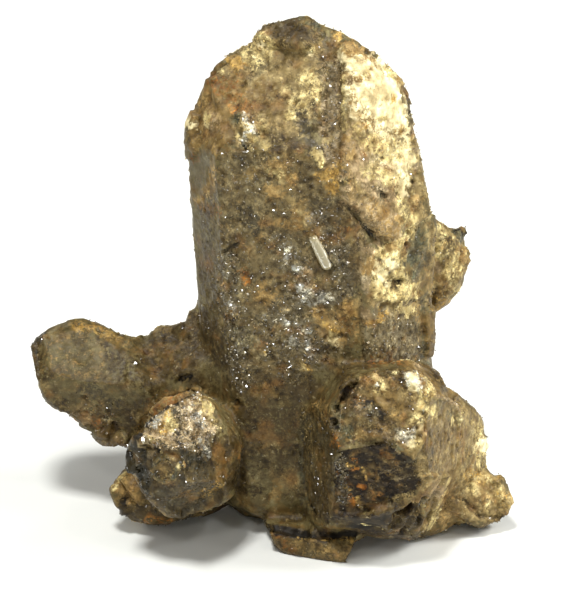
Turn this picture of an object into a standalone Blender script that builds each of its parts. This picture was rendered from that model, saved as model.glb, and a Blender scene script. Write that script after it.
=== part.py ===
"""Jeffersonite crystal cluster, built as one grown-together solid.

Run with: blender --background --python part.py
Metres, +Z up. The viewer of the specimen stands on the -Y side, +X is to the right.
Each crystal is given by its corners and is the convex body between them. The crystals are
joined into one solid, their surface is weathered, and the underside is cut flat where the
cluster broke from the rock.
"""

import math
from collections import namedtuple

import bmesh
import bpy
from mathutils import Vector, noise

MM = 0.001

# How finely the joined body is meshed before weathering, and what is kept of it afterwards.
SKIN_MM = 0.4
TRIANGLES_KEPT = 9400
# Height of the flat break the cluster rests on, above the lowest corners, in mm.
BREAK_MM = 0.08

MINERAL_COLOUR = (0.17, 0.13, 0.07, 1.0)
MINERAL_ROUGHNESS = 0.5

# rounding: how far the edges are worn back, in mm. corners: (x, y, z) in mm.
Crystal = namedtuple("Crystal", "name rounding corners")
# A ridge or a groove from start to end, in mm. height: how far it stands out, below 0 sunk in.
Mark = namedtuple("Mark", "start end radius height")
# A crumbly patch round a centre, in mm. strength: how much rougher than the clean faces.
Rough = namedtuple("Rough", "centre radius strength")

MAIN_PRISM = Crystal(
    "main_prism",
    rounding=0.8,
    corners=(
        # foot
        (-6.4, -8.0, 3.6), (6.5, -8.4, 3.6), (-5.5, -5.0, 1.0), (6.0, -5.0, 1.0), (12.0, -1.5, 2.0), (11.5, 4.0, 2.0),
        (5.0, 8.0, 2.0), (-6.0, 8.0, 2.0), (-11.0, 4.0, 2.0), (-11.0, -2.0, 2.0),
        # half way up
        (-8.2, -8.7, 20.0), (7.5, -8.9, 22.0), (13.5, -1.5, 21.0), (13.0, 4.0, 22.0),
        (5.0, 8.6, 22.0), (-6.5, 8.6, 22.0), (-12.0, 4.0, 22.0), (-12.3, -1.5, 24.0),
        # where the sides end: left, front, right, back
        (-13.2, -1.0, 44.9), (-13.1, 0.5, 46.4), (-12.4, 4.0, 44.0),
        (-10.2, -6.5, 45.1), (-4.3, -8.5, 46.6), (2.0, -8.8, 45.6), (3.6, -9.0, 42.5),
        (13.6, -1.0, 36.1), (12.9, -0.5, 40.0), (12.0, 4.0, 41.0),
        (-8.5, 7.4, 44.0), (-3.0, 8.6, 45.5), (5.0, 8.4, 45.0),
        # shoulders of the point
        (-11.2, 1.0, 51.0), (-8.6, 2.0, 53.6), (-9.1, -2.6, 50.6),
        (5.8, -3.6, 52.0), (9.9, 1.0, 50.4), (10.6, 0.0, 48.5),
        (-5.0, 5.5, 53.0), (4.0, 5.5, 52.0),
        # summit, from left to right
        (-6.0, 2.0, 56.1), (-4.4, 1.5, 57.2), (-1.2, 1.0, 58.3), (2.6, 1.0, 57.0), (5.8, 1.0, 54.9),
    ),
)

LEFT_ARM = Crystal(
    "left_arm",
    rounding=0.8,
    corners=(
        # end face
        (-31.3, 1.0, 19.1), (-30.6, -1.2, 16.6), (-29.2, 0.0, 12.6), (-30.6, 4.0, 18.9),
        (-29.4, 6.0, 15.4), (-28.2, 5.5, 11.4),
        # ridges along it: top, front, underneath, back
        (-29.0, 3.5, 20.4), (-27.1, 2.0, 22.0), (-25.5, 3.0, 22.3), (-22.8, 3.0, 21.6), (-19.5, 3.0, 19.7),
        (-28.6, -3.0, 17.6), (-18.7, -4.0, 17.0),
        (-27.7, -2.0, 12.9), (-25.3, -1.5, 10.8), (-23.6, -1.0, 8.9), (-20.4, -2.0, 8.2),
        (-25.8, 7.0, 17.6), (-20.7, 6.0, 6.6), (-18.0, 8.0, 16.0),
        # root, inside the main prism
        (-9.0, 4.0, 15.0), (-9.0, -3.0, 16.0), (-9.0, -2.0, 7.0), (-9.0, 6.0, 8.0),
    ),
)

SHOULDER = Crystal(
    "shoulder",
    rounding=0.9,
    corners=(
        (-18.6, 1.0, 19.6), (-17.5, 2.0, 20.7), (-16.1, 3.0, 21.4), (-13.5, 3.0, 22.2),
        (-12.0, 4.0, 24.0), (-18.0, 7.0, 17.5), (-12.0, 7.5, 21.0), (-17.6, -3.0, 16.6),
        (-13.2, -4.5, 17.6), (-10.5, -5.0, 20.0), (-18.0, -3.5, 9.0), (-17.0, 6.0, 6.0),
        (-9.0, -6.5, 8.0), (-8.0, 6.0, 6.0), (-8.0, 5.0, 22.0),
    ),
)

FRONT_LEFT = Crystal(
    "front_left",
    rounding=0.7,
    corners=(
        # nose
        (-14.2, -19.3, 15.2), (-13.0, -19.2, 14.2),
        # rim, from the left round underneath to the top
        (-19.7, -14.5, 14.2), (-19.7, -15.0, 12.3), (-18.4, -15.0, 9.2), (-16.3, -14.5, 6.9),
        (-15.2, -14.2, 5.3), (-10.4, -13.5, 6.8), (-8.0, -12.5, 7.8), (-7.4, -12.0, 13.7),
        (-9.5, -13.0, 17.0), (-11.4, -12.0, 20.1), (-12.9, -13.0, 20.9), (-17.0, -13.5, 19.0),
        (-18.7, -14.0, 16.3),
        # root
        (-17.5, -4.0, 9.0), (-16.0, -4.0, 4.0), (-9.0, -4.0, 4.0), (-8.0, -5.0, 14.0),
        (-13.0, -5.0, 16.0),
    ),
)

LOWER_LEFT = Crystal(
    "lower_left",
    rounding=0.5,
    corners=(
        (-20.2, -6.0, 7.8), (-21.9, -6.0, 6.0), (-22.1, -7.0, 5.3), (-21.4, -7.5, 3.8),
        (-19.9, -8.0, 2.5), (-17.5, -8.5, 1.9), (-15.0, -8.0, 1.9), (-14.0, -8.5, 6.0),
        (-17.0, -8.0, 8.0), (-20.0, -2.0, 6.0),
        # where it meets the ground
        (-18.6, -4.6, 0.0), (-14.0, -4.4, 0.0), (-16.5, -1.0, 0.0), (-9.0, -1.0, 0.0),
        (-9.0, -2.0, 8.0),
    ),
)

FRONT_RIGHT = Crystal(
    "front_right",
    rounding=0.6,
    corners=(
        # end face
        (2.3, -17.0, 21.0), (3.6, -15.5, 23.1), (9.5, -14.5, 24.2), (13.3, -15.0, 21.3),
        (13.7, -16.6, 16.9), (13.5, -16.4, 12.3), (12.2, -15.6, 7.3), (8.0, -16.4, 6.4),
        (3.7, -17.0, 7.9), (2.3, -17.8, 14.1), (7.8, -18.6, 17.2), (6.5, -18.5, 11.0),
        # lower edge
        (2.1, -14.0, 4.7), (0.2, -11.0, 3.5), (8.2, -12.0, 2.2), (11.9, -11.0, 1.3),
        # root
        (-0.6, -9.0, 15.9), (-1.1, -9.0, 9.1), (-0.5, -8.5, 2.9), (1.6, -9.0, 19.3),
        (3.7, -8.5, 21.8), (12.4, -7.5, 21.6), (15.6, -8.0, 19.4), (15.7, -9.0, 9.1),
        (12.0, -3.0, 4.0), (3.0, -3.0, 4.0),
    ),
)

RIGHT_BODY = Crystal(
    "right_body",
    rounding=0.7,
    corners=(
        (12.6, -3.0, 19.4), (14.7, -5.0, 17.9), (17.2, -4.0, 15.3), (18.7, -3.0, 14.1), (19.3, -3.0, 11.6),
        (19.3, -3.0, 7.8), (19.6, -2.5, 5.4), (15.7, -10.0, 15.6), (15.3, -10.3, 9.6),
        (11.6, -9.5, 0.4), (14.4, -8.5, 0.6), (16.1, -7.0, 1.2), (17.6, -8.0, 6.1),
        (12.9, 4.0, 17.4), (18.0, 4.0, 12.6), (18.8, 4.0, 5.6), (16.0, 3.0, 1.0),
        (9.0, -9.0, 1.5), (7.0, 3.0, 2.0), (8.0, -2.0, 19.0),
    ),
)

RIGHT_TAIL = Crystal(
    "right_tail",
    rounding=0.4,
    corners=(
        (20.0, -5.0, 7.0), (21.4, -5.0, 5.8), (22.1, -6.0, 3.8), (22.4, -7.0, 3.1),
        (21.5, -7.4, 1.0), (20.0, -7.5, 0.2), (17.1, -9.0, 2.7), (15.4, -9.5, 5.0),
        (14.9, -7.0, 7.5), (21.0, -2.0, 1.5), (19.5, -1.5, 0.0), (20.0, -2.0, 5.0),
        (13.0, -2.0, 1.0), (13.0, -2.0, 7.0), (17.5, -6.5, 0.0),
    ),
)

RIGHT_REAR = Crystal(
    "right_rear",
    rounding=0.6,
    corners=(
        (13.0, 4.0, 33.9), (15.2, 6.0, 31.5), (16.1, 7.0, 30.8), (17.3, 7.0, 29.8),
        (17.7, 7.0, 28.3), (17.6, 7.0, 26.5), (17.0, 6.0, 24.7), (15.6, 5.0, 23.3),
        (13.8, 4.0, 22.3), (15.4, 3.2, 29.8), (15.3, 3.2, 26.7), (16.4, 10.0, 29.0),
        (16.2, 10.0, 24.0), (12.0, 10.5, 31.0), (11.0, 10.0, 21.0), (9.0, 2.0, 34.0),
        (9.0, 2.0, 21.0),
    ),
)

RIGHT_REAR_TOOTH = Crystal(
    "right_rear_tooth",
    rounding=0.1,
    corners=(
        (15.4, 6.6, 30.4), (16.9, 7.8, 31.9), (17.8, 7.8, 31.2), (17.4, 6.8, 28.6),
        (15.8, 9.4, 29.2), (17.0, 9.4, 29.2),
    ),
)

FLAKE = Crystal(
    "flake",
    rounding=0.25,
    corners=(
        # front edge on the ground
        (-3.9, -10.3, 0.0), (-3.1, -11.5, 0.0), (-1.1, -12.5, 0.0), (1.1, -13.0, 0.0),
        (3.6, -14.0, 0.0), (4.6, -13.6, 0.0),
        # upper front edge
        (4.3, -14.2, 1.2), (5.1, -13.2, 2.5), (5.8, -12.0, 2.5), (-4.6, -11.3, 2.6),
        (-4.9, -9.0, 2.5), (-4.8, -9.0, 0.8),
        # back, under the cluster
        (-5.0, -3.0, 0.0), (6.0, -2.0, 0.0), (5.0, -4.0, 2.5), (-5.0, -4.0, 2.4),
    ),
)

BROKEN_ROOT = Crystal(
    "broken_root",
    rounding=0.6,
    corners=(
        (-7.5, -3.5, 0.0), (9.0, -6.0, 0.0), (11.0, 3.0, 0.0), (6.0, 9.0, 0.0),
        (-6.0, 9.5, 0.0), (-11.0, 3.0, 0.0), (-6.5, -4.5, 4.0), (9.5, -6.0, 5.0),
        (12.0, 3.0, 6.0), (6.0, 10.0, 7.0), (-7.0, 10.0, 7.0), (-11.5, 3.0, 6.0),
    ),
)

REAR_LEFT = Crystal(
    "rear_left",
    rounding=0.8,
    corners=(
        (-12.5, 14.5, 12.0), (-9.0, 16.5, 10.5), (-5.5, 15.5, 8.5), (-5.0, 14.0, 14.5),
        (-9.5, 13.5, 17.0), (-13.5, 12.0, 8.0), (-9.0, 14.0, 4.0), (-4.5, 12.5, 4.5),
        (-12.0, 4.0, 16.0), (-12.0, 4.0, 6.0), (-3.0, 4.0, 3.0), (-2.0, 4.0, 16.0),
        (-7.0, 4.0, 19.0),
    ),
)

REAR_FOOT = Crystal(
    "rear_foot",
    rounding=0.7,
    corners=(
        (2.0, 15.0, 0.0), (7.0, 14.0, 0.0), (10.0, 9.0, 0.0), (-1.0, 12.0, 0.0),
        (1.5, 16.0, 3.5), (7.5, 15.0, 4.0), (2.5, 14.0, 9.5), (7.5, 13.0, 9.0),
        (11.0, 8.0, 6.0), (0.0, 4.0, 12.0), (9.0, 4.0, 12.0), (0.0, 4.0, 0.0), (9.0, 3.0, 0.0),
    ),
)

PALE_PLATE = Crystal(
    "pale_plate",
    rounding=0.25,
    corners=(
        # left border, from the ledge up to the summit
        (2.9, -9.5, 42.4), (3.1, -9.2, 44.5), (3.3, -6.0, 50.6), (3.4, -0.5, 57.0),
        # lower border: the slanting ledge
        (8.0, -7.6, 36.2), (9.0, -6.9, 35.6), (12.9, -3.2, 36.4),
        # right border
        (13.9, -1.8, 37.5), (13.2, -1.2, 40.5), (10.9, -1.0, 48.8), (10.1, 0.0, 50.8),
        (6.3, -4.0, 52.5), (6.2, 0.0, 55.4),
        # buried side
        (2.9, -7.0, 43.0), (3.4, 0.0, 54.0), (9.0, -5.0, 37.0), (12.0, -1.0, 38.0),
        (8.0, 0.0, 50.0),
    ),
)

GLASSY_ROD = Crystal(
    "glassy_rod",
    rounding=0.25,
    corners=(
        (-1.1, -9.0, 38.9), (0.0, -9.0, 39.4), (-1.0, -9.4, 38.9), (-0.1, -9.4, 39.3),
        (1.6, -9.0, 33.6), (2.8, -9.0, 34.0), (1.8, -9.4, 33.7), (2.7, -9.4, 34.1),
        (0.4, -8.0, 36.0), (1.4, -8.0, 36.5),
    ),
)

CRYSTALS = (
    MAIN_PRISM, LEFT_ARM, SHOULDER, FRONT_LEFT, LOWER_LEFT, FRONT_RIGHT, RIGHT_BODY,
    RIGHT_TAIL, RIGHT_REAR, RIGHT_REAR_TOOTH, FLAKE, BROKEN_ROOT, REAR_LEFT, REAR_FOOT,
    PALE_PLATE, GLASSY_ROD,
)

MARKS = (
    # cleft and pit at the top left of the front right crystal
    Mark((2.6, -17.0, 20.6), (4.6, -15.6, 23.2), 0.9, -1.3),
    Mark((2.3, -17.4, 18.6), (2.9, -17.6, 18.2), 0.9, -0.9),
    # dark pits in the pale crust of the right face
    Mark((8.6, -7.4, 31.2), (9.4, -7.0, 30.6), 0.8, -0.8),
    Mark((8.2, -7.6, 27.9), (8.9, -7.2, 27.6), 0.8, -0.6),
    # groove down the left edge of the pale plate
    Mark((1.9, -9.1, 44.0), (2.2, -1.0, 56.0), 1.0, -0.5),
    # ridges and gaps under the front right crystal
    Mark((9.5, -15.0, 6.2), (12.6, -13.6, 8.2), 0.8, -1.0),
    Mark((4.5, -15.8, 5.2), (7.4, -14.6, 4.8), 0.7, -0.8),
    Mark((14.6, -10.6, 9.5), (12.7, -10.4, 1.6), 0.7, 0.6),
    Mark((13.4, -11.2, 8.0), (12.0, -10.8, 2.4), 0.6, -0.8),
    # light ridge on the right crystal
    Mark((9.4, -11.0, 23.2), (15.2, -9.0, 18.6), 0.8, 0.5),
    Mark((15.2, -9.0, 18.6), (16.6, -9.2, 15.6), 0.8, 0.5),
    # ledge across the narrow left face
    Mark((-13.4, -2.0, 42.6), (-11.6, -5.2, 42.0), 0.9, -0.5),
    # rim of crumbs over the front left crystal
    Mark((-18.6, -12.2, 17.0), (-12.4, -11.2, 21.0), 0.8, 0.5),
    # lumps where the left arm joins the shoulder
    Mark((-19.4, -2.0, 18.6), (-17.0, -4.4, 14.0), 1.4, 0.5),
)

ROUGH_PATCHES = (
    Rough((-1.5, 0.5, 57.0), 5.5, 1.0),
    Rough((-10.0, -2.5, 50.0), 4.0, 0.8),
    Rough((8.0, -16.5, 20.5), 6.0, 1.4),
    Rough((8.5, -17.0, 10.5), 6.0, 1.0),
    Rough((9.0, -7.5, 30.5), 4.0, 1.0),
    Rough((-22.0, -2.0, 10.0), 5.0, 1.4),
    Rough((-14.5, 1.0, 21.5), 4.5, 1.2),
    Rough((-16.0, -12.0, 19.5), 4.0, 1.0),
    Rough((-20.0, -7.0, 3.5), 4.0, 1.5),
    Rough((16.5, 6.0, 28.0), 4.5, 1.2),
    Rough((17.0, -5.0, 6.0), 6.0, 1.0),
    Rough((0.0, -12.0, 1.5), 6.0, 0.9),
    Rough((13.0, -11.0, 6.0), 5.0, 1.0),
    Rough((0.0, 14.0, 6.0), 12.0, 1.0),
)

# The fine steps on the lower end face of the front right crystal.
STEP_CENTRE = (8.3, -17.0, 11.0)
STEP_RADIUS = 5.5
STEP_UP = (0.16, 0.25, 0.95)
STEP_MM = 1.5
STEP_HEIGHT = 0.35


def mineral_material():
    """Dull brown mineral with a slight shine."""
    material = bpy.data.materials.new("brown_jeffersonite")
    material.use_nodes = True
    shader = material.node_tree.nodes["Principled BSDF"]
    shader.inputs["Base Color"].default_value = MINERAL_COLOUR
    shader.inputs["Roughness"].default_value = MINERAL_ROUGHNESS
    shader.inputs["Metallic"].default_value = 0.0
    return material


def crystal_mesh(crystal):
    """Mesh of the convex body between a crystal's corners."""
    shape = bmesh.new()
    for corner in crystal.corners:
        shape.verts.new(Vector(corner) * MM)
    hull = bmesh.ops.convex_hull(shape, input=shape.verts[:])
    spare = {item for item in hull["geom_interior"] + hull["geom_unused"]}
    bmesh.ops.delete(shape, geom=[v for v in shape.verts if v in spare], context="VERTS")
    bmesh.ops.dissolve_limit(
        shape, angle_limit=math.radians(4), verts=shape.verts[:], edges=shape.edges[:]
    )
    bmesh.ops.recalc_face_normals(shape, faces=shape.faces)
    mesh = bpy.data.meshes.new(crystal.name)
    shape.to_mesh(mesh)
    shape.free()
    return mesh


def place_crystal(crystal, collection):
    """Object of one crystal with its edges rounded."""
    obj = bpy.data.objects.new(crystal.name, crystal_mesh(crystal))
    collection.objects.link(obj)
    rounding = obj.modifiers.new("worn_edges", "BEVEL")
    rounding.width = crystal.rounding * MM
    rounding.segments = 2
    rounding.limit_method = "ANGLE"
    rounding.angle_limit = math.radians(12)
    return obj


def joined_skin(crystals, collection):
    """One closed skin round all the crystals together."""
    graph = bpy.context.evaluated_depsgraph_get()
    joined = bmesh.new()
    for obj in crystals:
        joined.from_mesh(obj.evaluated_get(graph).to_mesh())
    mesh = bpy.data.meshes.new("crystal_cluster")
    joined.to_mesh(mesh)
    joined.free()
    for obj in crystals:
        bpy.data.objects.remove(obj)
    cluster = bpy.data.objects.new("crystal_cluster", mesh)
    collection.objects.link(cluster)
    skin = cluster.modifiers.new("skin", "REMESH")
    skin.mode = "VOXEL"
    skin.voxel_size = SKIN_MM * MM
    bake(cluster)
    return cluster


def bake(obj):
    """Replaces the mesh by what its modifiers make of it."""
    graph = bpy.context.evaluated_depsgraph_get()
    mesh = bpy.data.meshes.new_from_object(obj.evaluated_get(graph))
    obj.modifiers.clear()
    obj.data = mesh


def fade(distance, radius):
    """1 at the centre of a patch, 0 from its radius on."""
    left = max(0.0, 1.0 - distance / radius)
    return left * left * (3.0 - 2.0 * left)


def distance_to_line(place, start, end):
    along = end - start
    part = max(0.0, min(1.0, (place - start).dot(along) / along.length_squared))
    return (place - start - along * part).length


def roughness(place):
    """0 on the clean crystal faces, more on the crumbly patches."""
    return max(spot.strength * fade((place - Vector(spot.centre)).length, spot.radius)
               for spot in ROUGH_PATCHES)


def marks_height(place):
    height = 0.0
    for mark in MARKS:
        distance = distance_to_line(place, Vector(mark.start), Vector(mark.end))
        height += mark.height * fade(distance, mark.radius * 1.6)
    return height


def steps_height(place):
    near = fade((place - Vector(STEP_CENTRE)).length, STEP_RADIUS)
    up = place.dot(Vector(STEP_UP)) + 0.5 * noise.noise(place * 0.4)
    return near * STEP_HEIGHT * (0.5 - (up / STEP_MM) % 1.0)


def weathering(place):
    """How far the weathered surface stands out at a place, in mm."""
    rough = roughness(place)
    swell = 0.20 * noise.noise(place * 0.18)
    lumps = (0.12 + 0.55 * rough) * noise.noise(place * 0.55)
    crumbs = (0.04 + 0.30 * rough) * noise.noise(place * 1.2 + Vector((7.0, 3.0, 5.0)))
    return swell + lumps + crumbs + marks_height(place) + steps_height(place)


def weather(obj):
    """Moves the skin in and out, except close to the break underneath."""
    mesh = obj.data
    normals = [vertex.normal.copy() for vertex in mesh.vertices]
    for vertex, normal in zip(mesh.vertices, normals):
        place = vertex.co / MM
        clear_of_break = min(1.0, max(0.0, (place.z - 0.3) / 1.2))
        vertex.co += normal * weathering(place) * clear_of_break * MM


def simplify(obj):
    """Keeps the triangles that say most about the form."""
    triangles = sum(len(face.vertices) - 2 for face in obj.data.polygons)
    fewer = obj.modifiers.new("fewer", "DECIMATE")
    fewer.ratio = TRIANGLES_KEPT / triangles
    bake(obj)


def cut_break(obj, collection):
    """Cuts the underside flat."""
    ground_mesh = bpy.data.meshes.new("ground")
    ground_shape = bmesh.new()
    bmesh.ops.create_cube(ground_shape, size=200 * MM)
    ground_shape.to_mesh(ground_mesh)
    ground_shape.free()
    ground = bpy.data.objects.new("ground", ground_mesh)
    ground.location.z = (BREAK_MM - 100) * MM
    collection.objects.link(ground)
    cut = obj.modifiers.new("break", "BOOLEAN")
    cut.operation = "DIFFERENCE"
    cut.solver = "EXACT"
    cut.object = ground
    bake(obj)
    bpy.data.objects.remove(ground)


def settle(obj):
    """Brings the middle of the underside to the origin and returns the move."""
    places = [vertex.co for vertex in obj.data.vertices]
    low = [min(place[axis] for place in places) for axis in range(3)]
    high = [max(place[axis] for place in places) for axis in range(3)]
    move = -Vector(((low[0] + high[0]) / 2, (low[1] + high[1]) / 2, low[2]))
    for vertex in obj.data.vertices:
        vertex.co += move
    return move


def main():
    for obj in list(bpy.data.objects):
        bpy.data.objects.remove(obj)
    collection = bpy.data.collections.new("jeffersonite")
    bpy.context.scene.collection.children.link(collection)
    crystals = [place_crystal(crystal, collection) for crystal in CRYSTALS]
    cluster = joined_skin(crystals, collection)
    weather(cluster)
    simplify(cluster)
    cut_break(cluster, collection)
    cluster.data.materials.clear()
    cluster.data.materials.append(mineral_material())
    return settle(cluster)


main()
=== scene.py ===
"""The looks of the jeffersonite crystal cluster: its weathered surface, druse, crusts and glassy rod, with
floor, light and camera.

Lengths are millimetres and become metres where Blender takes them. Places on the front are points of the
picture, u to the right and v down in its 571 x 600 frame. Each is found on the crystals along the camera's
line of sight, so that its paint and relief lie on the surface from every side.
"""

import math
from collections import namedtuple

import bpy
import numpy as np
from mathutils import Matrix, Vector, noise
from mathutils.bvhtree import BVHTree


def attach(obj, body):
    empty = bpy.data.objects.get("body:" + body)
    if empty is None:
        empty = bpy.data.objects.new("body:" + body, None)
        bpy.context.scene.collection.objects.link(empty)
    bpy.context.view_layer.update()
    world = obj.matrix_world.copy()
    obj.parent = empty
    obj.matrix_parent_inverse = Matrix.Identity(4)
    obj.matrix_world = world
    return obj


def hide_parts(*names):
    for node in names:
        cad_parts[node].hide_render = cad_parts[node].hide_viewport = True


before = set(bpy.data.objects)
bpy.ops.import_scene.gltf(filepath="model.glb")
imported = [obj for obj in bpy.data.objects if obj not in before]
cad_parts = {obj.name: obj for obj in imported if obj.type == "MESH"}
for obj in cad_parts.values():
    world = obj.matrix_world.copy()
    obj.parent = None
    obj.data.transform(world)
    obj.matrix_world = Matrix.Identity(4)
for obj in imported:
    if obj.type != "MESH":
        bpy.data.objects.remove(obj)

MM = 0.001
NODE = "crystal_cluster"

# The picture and the camera that took it
PICTURE_WIDE = 571
PICTURE_HIGH = 600
PIXELS_PER_MM = 9.1
CAMERA_TILT = math.radians(25)
CAMERA_DISTANCE = 400.0
LOOK_AT = np.array((1.709, 1.468, 25.38))
SENSOR = 36.0

# The studio: each lamp's name, azimuth, elevation, size and power, and weak small lamps that the facets catch
LAMP_DISTANCE = 0.6
LAMPS = [("key", 341, 70, 0.10, 3.2), ("window", 84, 40, 0.2, 3.2), ("fill", 225, 40, 0.2, 1.0)]
SMALL_LAMPS = [(325, 28), (352, 44), (18, 22), (40, 50), (62, 30)]
SMALL_LAMP_SIZE = 0.05
SMALL_LAMP_POWER = 0.25
SKY_STRENGTH = 0.18
FLOOR_HALF = 3.0
FLOOR_COLOUR = (0.80, 0.81, 0.765, 1)

# The name under which the textures' layout is kept
BAKE_LAYOUT = "OFBake"

# The fine surface
VOXEL = 0.2
SMOOTHING_ROUNDS = 3
SURFACE_TRIANGLES = 190000
BASE_HEIGHT = 0.35
MOST_PROUD = 0.5
DEEPEST = -1.2

# Small crystals and crumbs that stand on the surface, as flattened double pyramids. Some of them are aligned:
# one face of each looks the way that catches the light.
GRAIN_SINK = 0.38
GRAIN_SPREAD = 0.08
ALIGNED_FACE = (-0.06, -0.68, 0.73)
ALIGNED_SPREAD = 0.14
ALIGNED_DRUSE = 0.3
DRUSE_GRAINS = 22000
DRUSE_SIZES = (0.14, 0.44)
CRUST_GRAINS = 22000
CRUST_SIZES = (0.12, 0.28)
GLINT_SIZES = (0.3, 0.85)
GLINT_COLOUR = (0.42, 0.38, 0.26)
GLINT_SPREAD = 1.1

# The clear rod: where its ends lie in the picture, and its shape
ROD_TOP = (312, 236)
ROD_FOOT = (328, 267)
ROD_HALF_WIDTH = 0.62
ROD_TOP_WIDTH = 0.7
ROD_THICKNESS = 0.75
ROD_RISE = 0.34
ROD_ROUND_END = 0.16
ROD_RINGS = 14
ROD_SPOKES = 12

# Inside the stone's material
FACET_SIZE = 0.32
GRAIN_RELIEF = 0.12
FACET_TILT = 1.1
SMOOTHEST = 0.12
STONE_SHINE = 0.18
STAIN_TINT = (0.95, 0.68, 0.38, 1)
DARK_TINT = (0.34, 0.28, 0.2, 1)
FLECK_COLOUR = (0.5, 0.42, 0.24, 1)

# The two colours kept for each point: what lies below, and the crust on it
COLOURS = ("colour", "crust")

# How strongly a lighter or darker place changes its red, green and blue
WARMTH = (0.88, 1.0, 1.22)

Finish = namedtuple("Finish", "colour roughness sparkle raised crumble pitted speckle")

# Colour, roughness, share of glinting grains, thickness, height of lumps, depth of pits, strength of speckles
FINISHES = {
    "olive": Finish((0.118, 0.092, 0.036), 0.46, 0.20, 0.00, 0.02, 0.01, 0.45),
    "brown": Finish((0.160, 0.102, 0.032), 0.46, 0.20, 0.00, 0.05, 0.04, 0.65),
    "umber": Finish((0.056, 0.037, 0.012), 0.42, 0.30, 0.00, 0.04, 0.04, 0.80),
    "druse": Finish((0.143, 0.106, 0.046), 0.32, 0.50, 0.00, 0.09, 0.06, 0.80),
    "glitter": Finish((0.122, 0.096, 0.051), 0.25, 1.00, 0.00, 0.08, 0.04, 0.70),
    "crumbly": Finish((0.125, 0.082, 0.030), 0.40, 0.60, 0.00, 0.12, 0.10, 1.00),
    "slate": Finish((0.059, 0.046, 0.023), 0.34, 0.40, 0.00, 0.03, 0.02, 0.75),
    "jet": Finish((0.026, 0.022, 0.012), 0.22, 0.50, 0.00, 0.03, 0.02, 0.40),
    "black": Finish((0.012, 0.009, 0.005), 0.55, 0.05, 0.00, 0.02, 0.00, 0.20),
    "coal": Finish((0.017, 0.010, 0.004), 0.45, 0.10, 0.00, 0.06, 0.05, 1.00),
    "moss": Finish((0.088, 0.082, 0.041), 0.36, 0.40, 0.00, 0.05, 0.03, 1.00),
    "ash": Finish((0.275, 0.205, 0.105), 0.40, 0.45, 0.00, 0.06, 0.05, 0.90),
    "silver": Finish((0.340, 0.320, 0.250), 0.22, 1.00, 0.03, 0.10, 0.03, 0.90),
    "khaki": Finish((0.245, 0.177, 0.070), 0.56, 0.30, 0.04, 0.07, 0.04, 0.70),
    "tan": Finish((0.290, 0.185, 0.062), 0.54, 0.25, 0.04, 0.07, 0.05, 0.70),
    "gold": Finish((0.400, 0.245, 0.062), 0.44, 0.45, 0.03, 0.08, 0.05, 0.80),
    "pink": Finish((0.350, 0.250, 0.125), 0.50, 0.30, 0.03, 0.06, 0.05, 0.80),
    "cream": Finish((0.560, 0.440, 0.185), 0.58, 0.30, 0.10, 0.09, 0.07, 0.90),
    "pale": Finish((0.830, 0.705, 0.390), 0.54, 0.25, 0.12, 0.05, 0.03, 0.35),
    "white": Finish((0.740, 0.690, 0.500), 0.25, 1.00, 0.12, 0.12, 0.04, 1.00),
    "lustre": Finish((0.330, 0.250, 0.135), 0.24, 1.00, 0.02, 0.09, 0.05, 0.90),
    "rust": Finish((0.200, 0.088, 0.020), 0.56, 0.20, 0.02, 0.06, 0.05, 0.70),
    "orange": Finish((0.370, 0.140, 0.020), 0.56, 0.20, 0.02, 0.07, 0.05, 0.70),
}


def fade(value, full, none):
    """1 where value is at full or beyond, 0 at none or beyond, and smooth in between."""
    t = np.clip((value - none) / (full - none), 0, 1)
    return t * t * (3 - 2 * t)


def fractal(points, size, octaves=3, offset=0.0):
    """Smooth lumpy noise from about -1 to 1 at points, with its largest lumps about size across."""
    scaled = (points / size + offset).tolist()
    return np.array([noise.fractal(p, 0.8, 2.0, octaves) for p in scaled])


def cells(points, size, offset=0.0):
    """Seeds scattered about size apart: each point's distance and place from the nearest, and that seed."""
    scaled = points / size + offset
    found = [noise.voronoi(p) for p in scaled.tolist()]
    near = np.array([f[0][0] for f in found])
    seeds = np.array([tuple(f[1][0]) for f in found])
    return near, scaled - seeds, seeds


def facets(points, size, offset=0.0):
    """Small flat faces about size across, each tilted its own way: the height from about -0.5 to 0.5."""
    _, place, seeds = cells(points, size, offset)
    mixing = np.array(((12.9, 78.2, 37.7), (39.3, 11.1, 83.2), (73.2, 52.2, 9.2)))
    tilt = (np.sin(seeds @ mixing) * 43758.5) % 1 - 0.5
    return (place * tilt).sum(1) * 1.6


class Picture:
    """The camera's view of the crystals, for finding picture points on them."""

    forward = np.array((0, math.cos(CAMERA_TILT), -math.sin(CAMERA_TILT)))
    up = np.array((0, math.sin(CAMERA_TILT), math.cos(CAMERA_TILT)))
    scale = PIXELS_PER_MM * CAMERA_DISTANCE

    def __init__(self, points, faces):
        self.eye = LOOK_AT - self.forward * CAMERA_DISTANCE
        self.tree = BVHTree.FromPolygons(points.tolist(), faces)

    def project(self, points):
        """u, v and depth of points."""
        away = points - self.eye
        depth = away @ self.forward
        u = PICTURE_WIDE / 2 + self.scale * away[:, 0] / depth
        v = PICTURE_HIGH / 2 - self.scale * (away @ self.up) / depth
        return u, v, depth

    def ray(self, u, v):
        side = (u - PICTURE_WIDE / 2) / self.scale
        rise = (PICTURE_HIGH / 2 - v) / self.scale
        line = self.forward + self.up * rise
        line[0] += side
        return Vector(line).normalized()

    def find(self, u, v):
        """The place of a picture point on the crystals with the normal there, or None off them."""
        place, normal, _, _ = self.tree.ray_cast(Vector(self.eye), self.ray(u, v))
        return None if place is None else (np.array(place), np.array(normal))


Patch = namedtuple("Patch", "finish points radius amount closed ragged", defaults=(1.0,))


def spot(finish, u, v, radius, amount=1.0):
    return Patch(finish, [(u, v)], radius, amount, False)


def streak(finish, points, radius, amount=1.0):
    return Patch(finish, points, radius, amount, False)


def spots(finish, radius, amount, places):
    return [spot(finish, u, v, radius, amount) for u, v in places]


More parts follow.
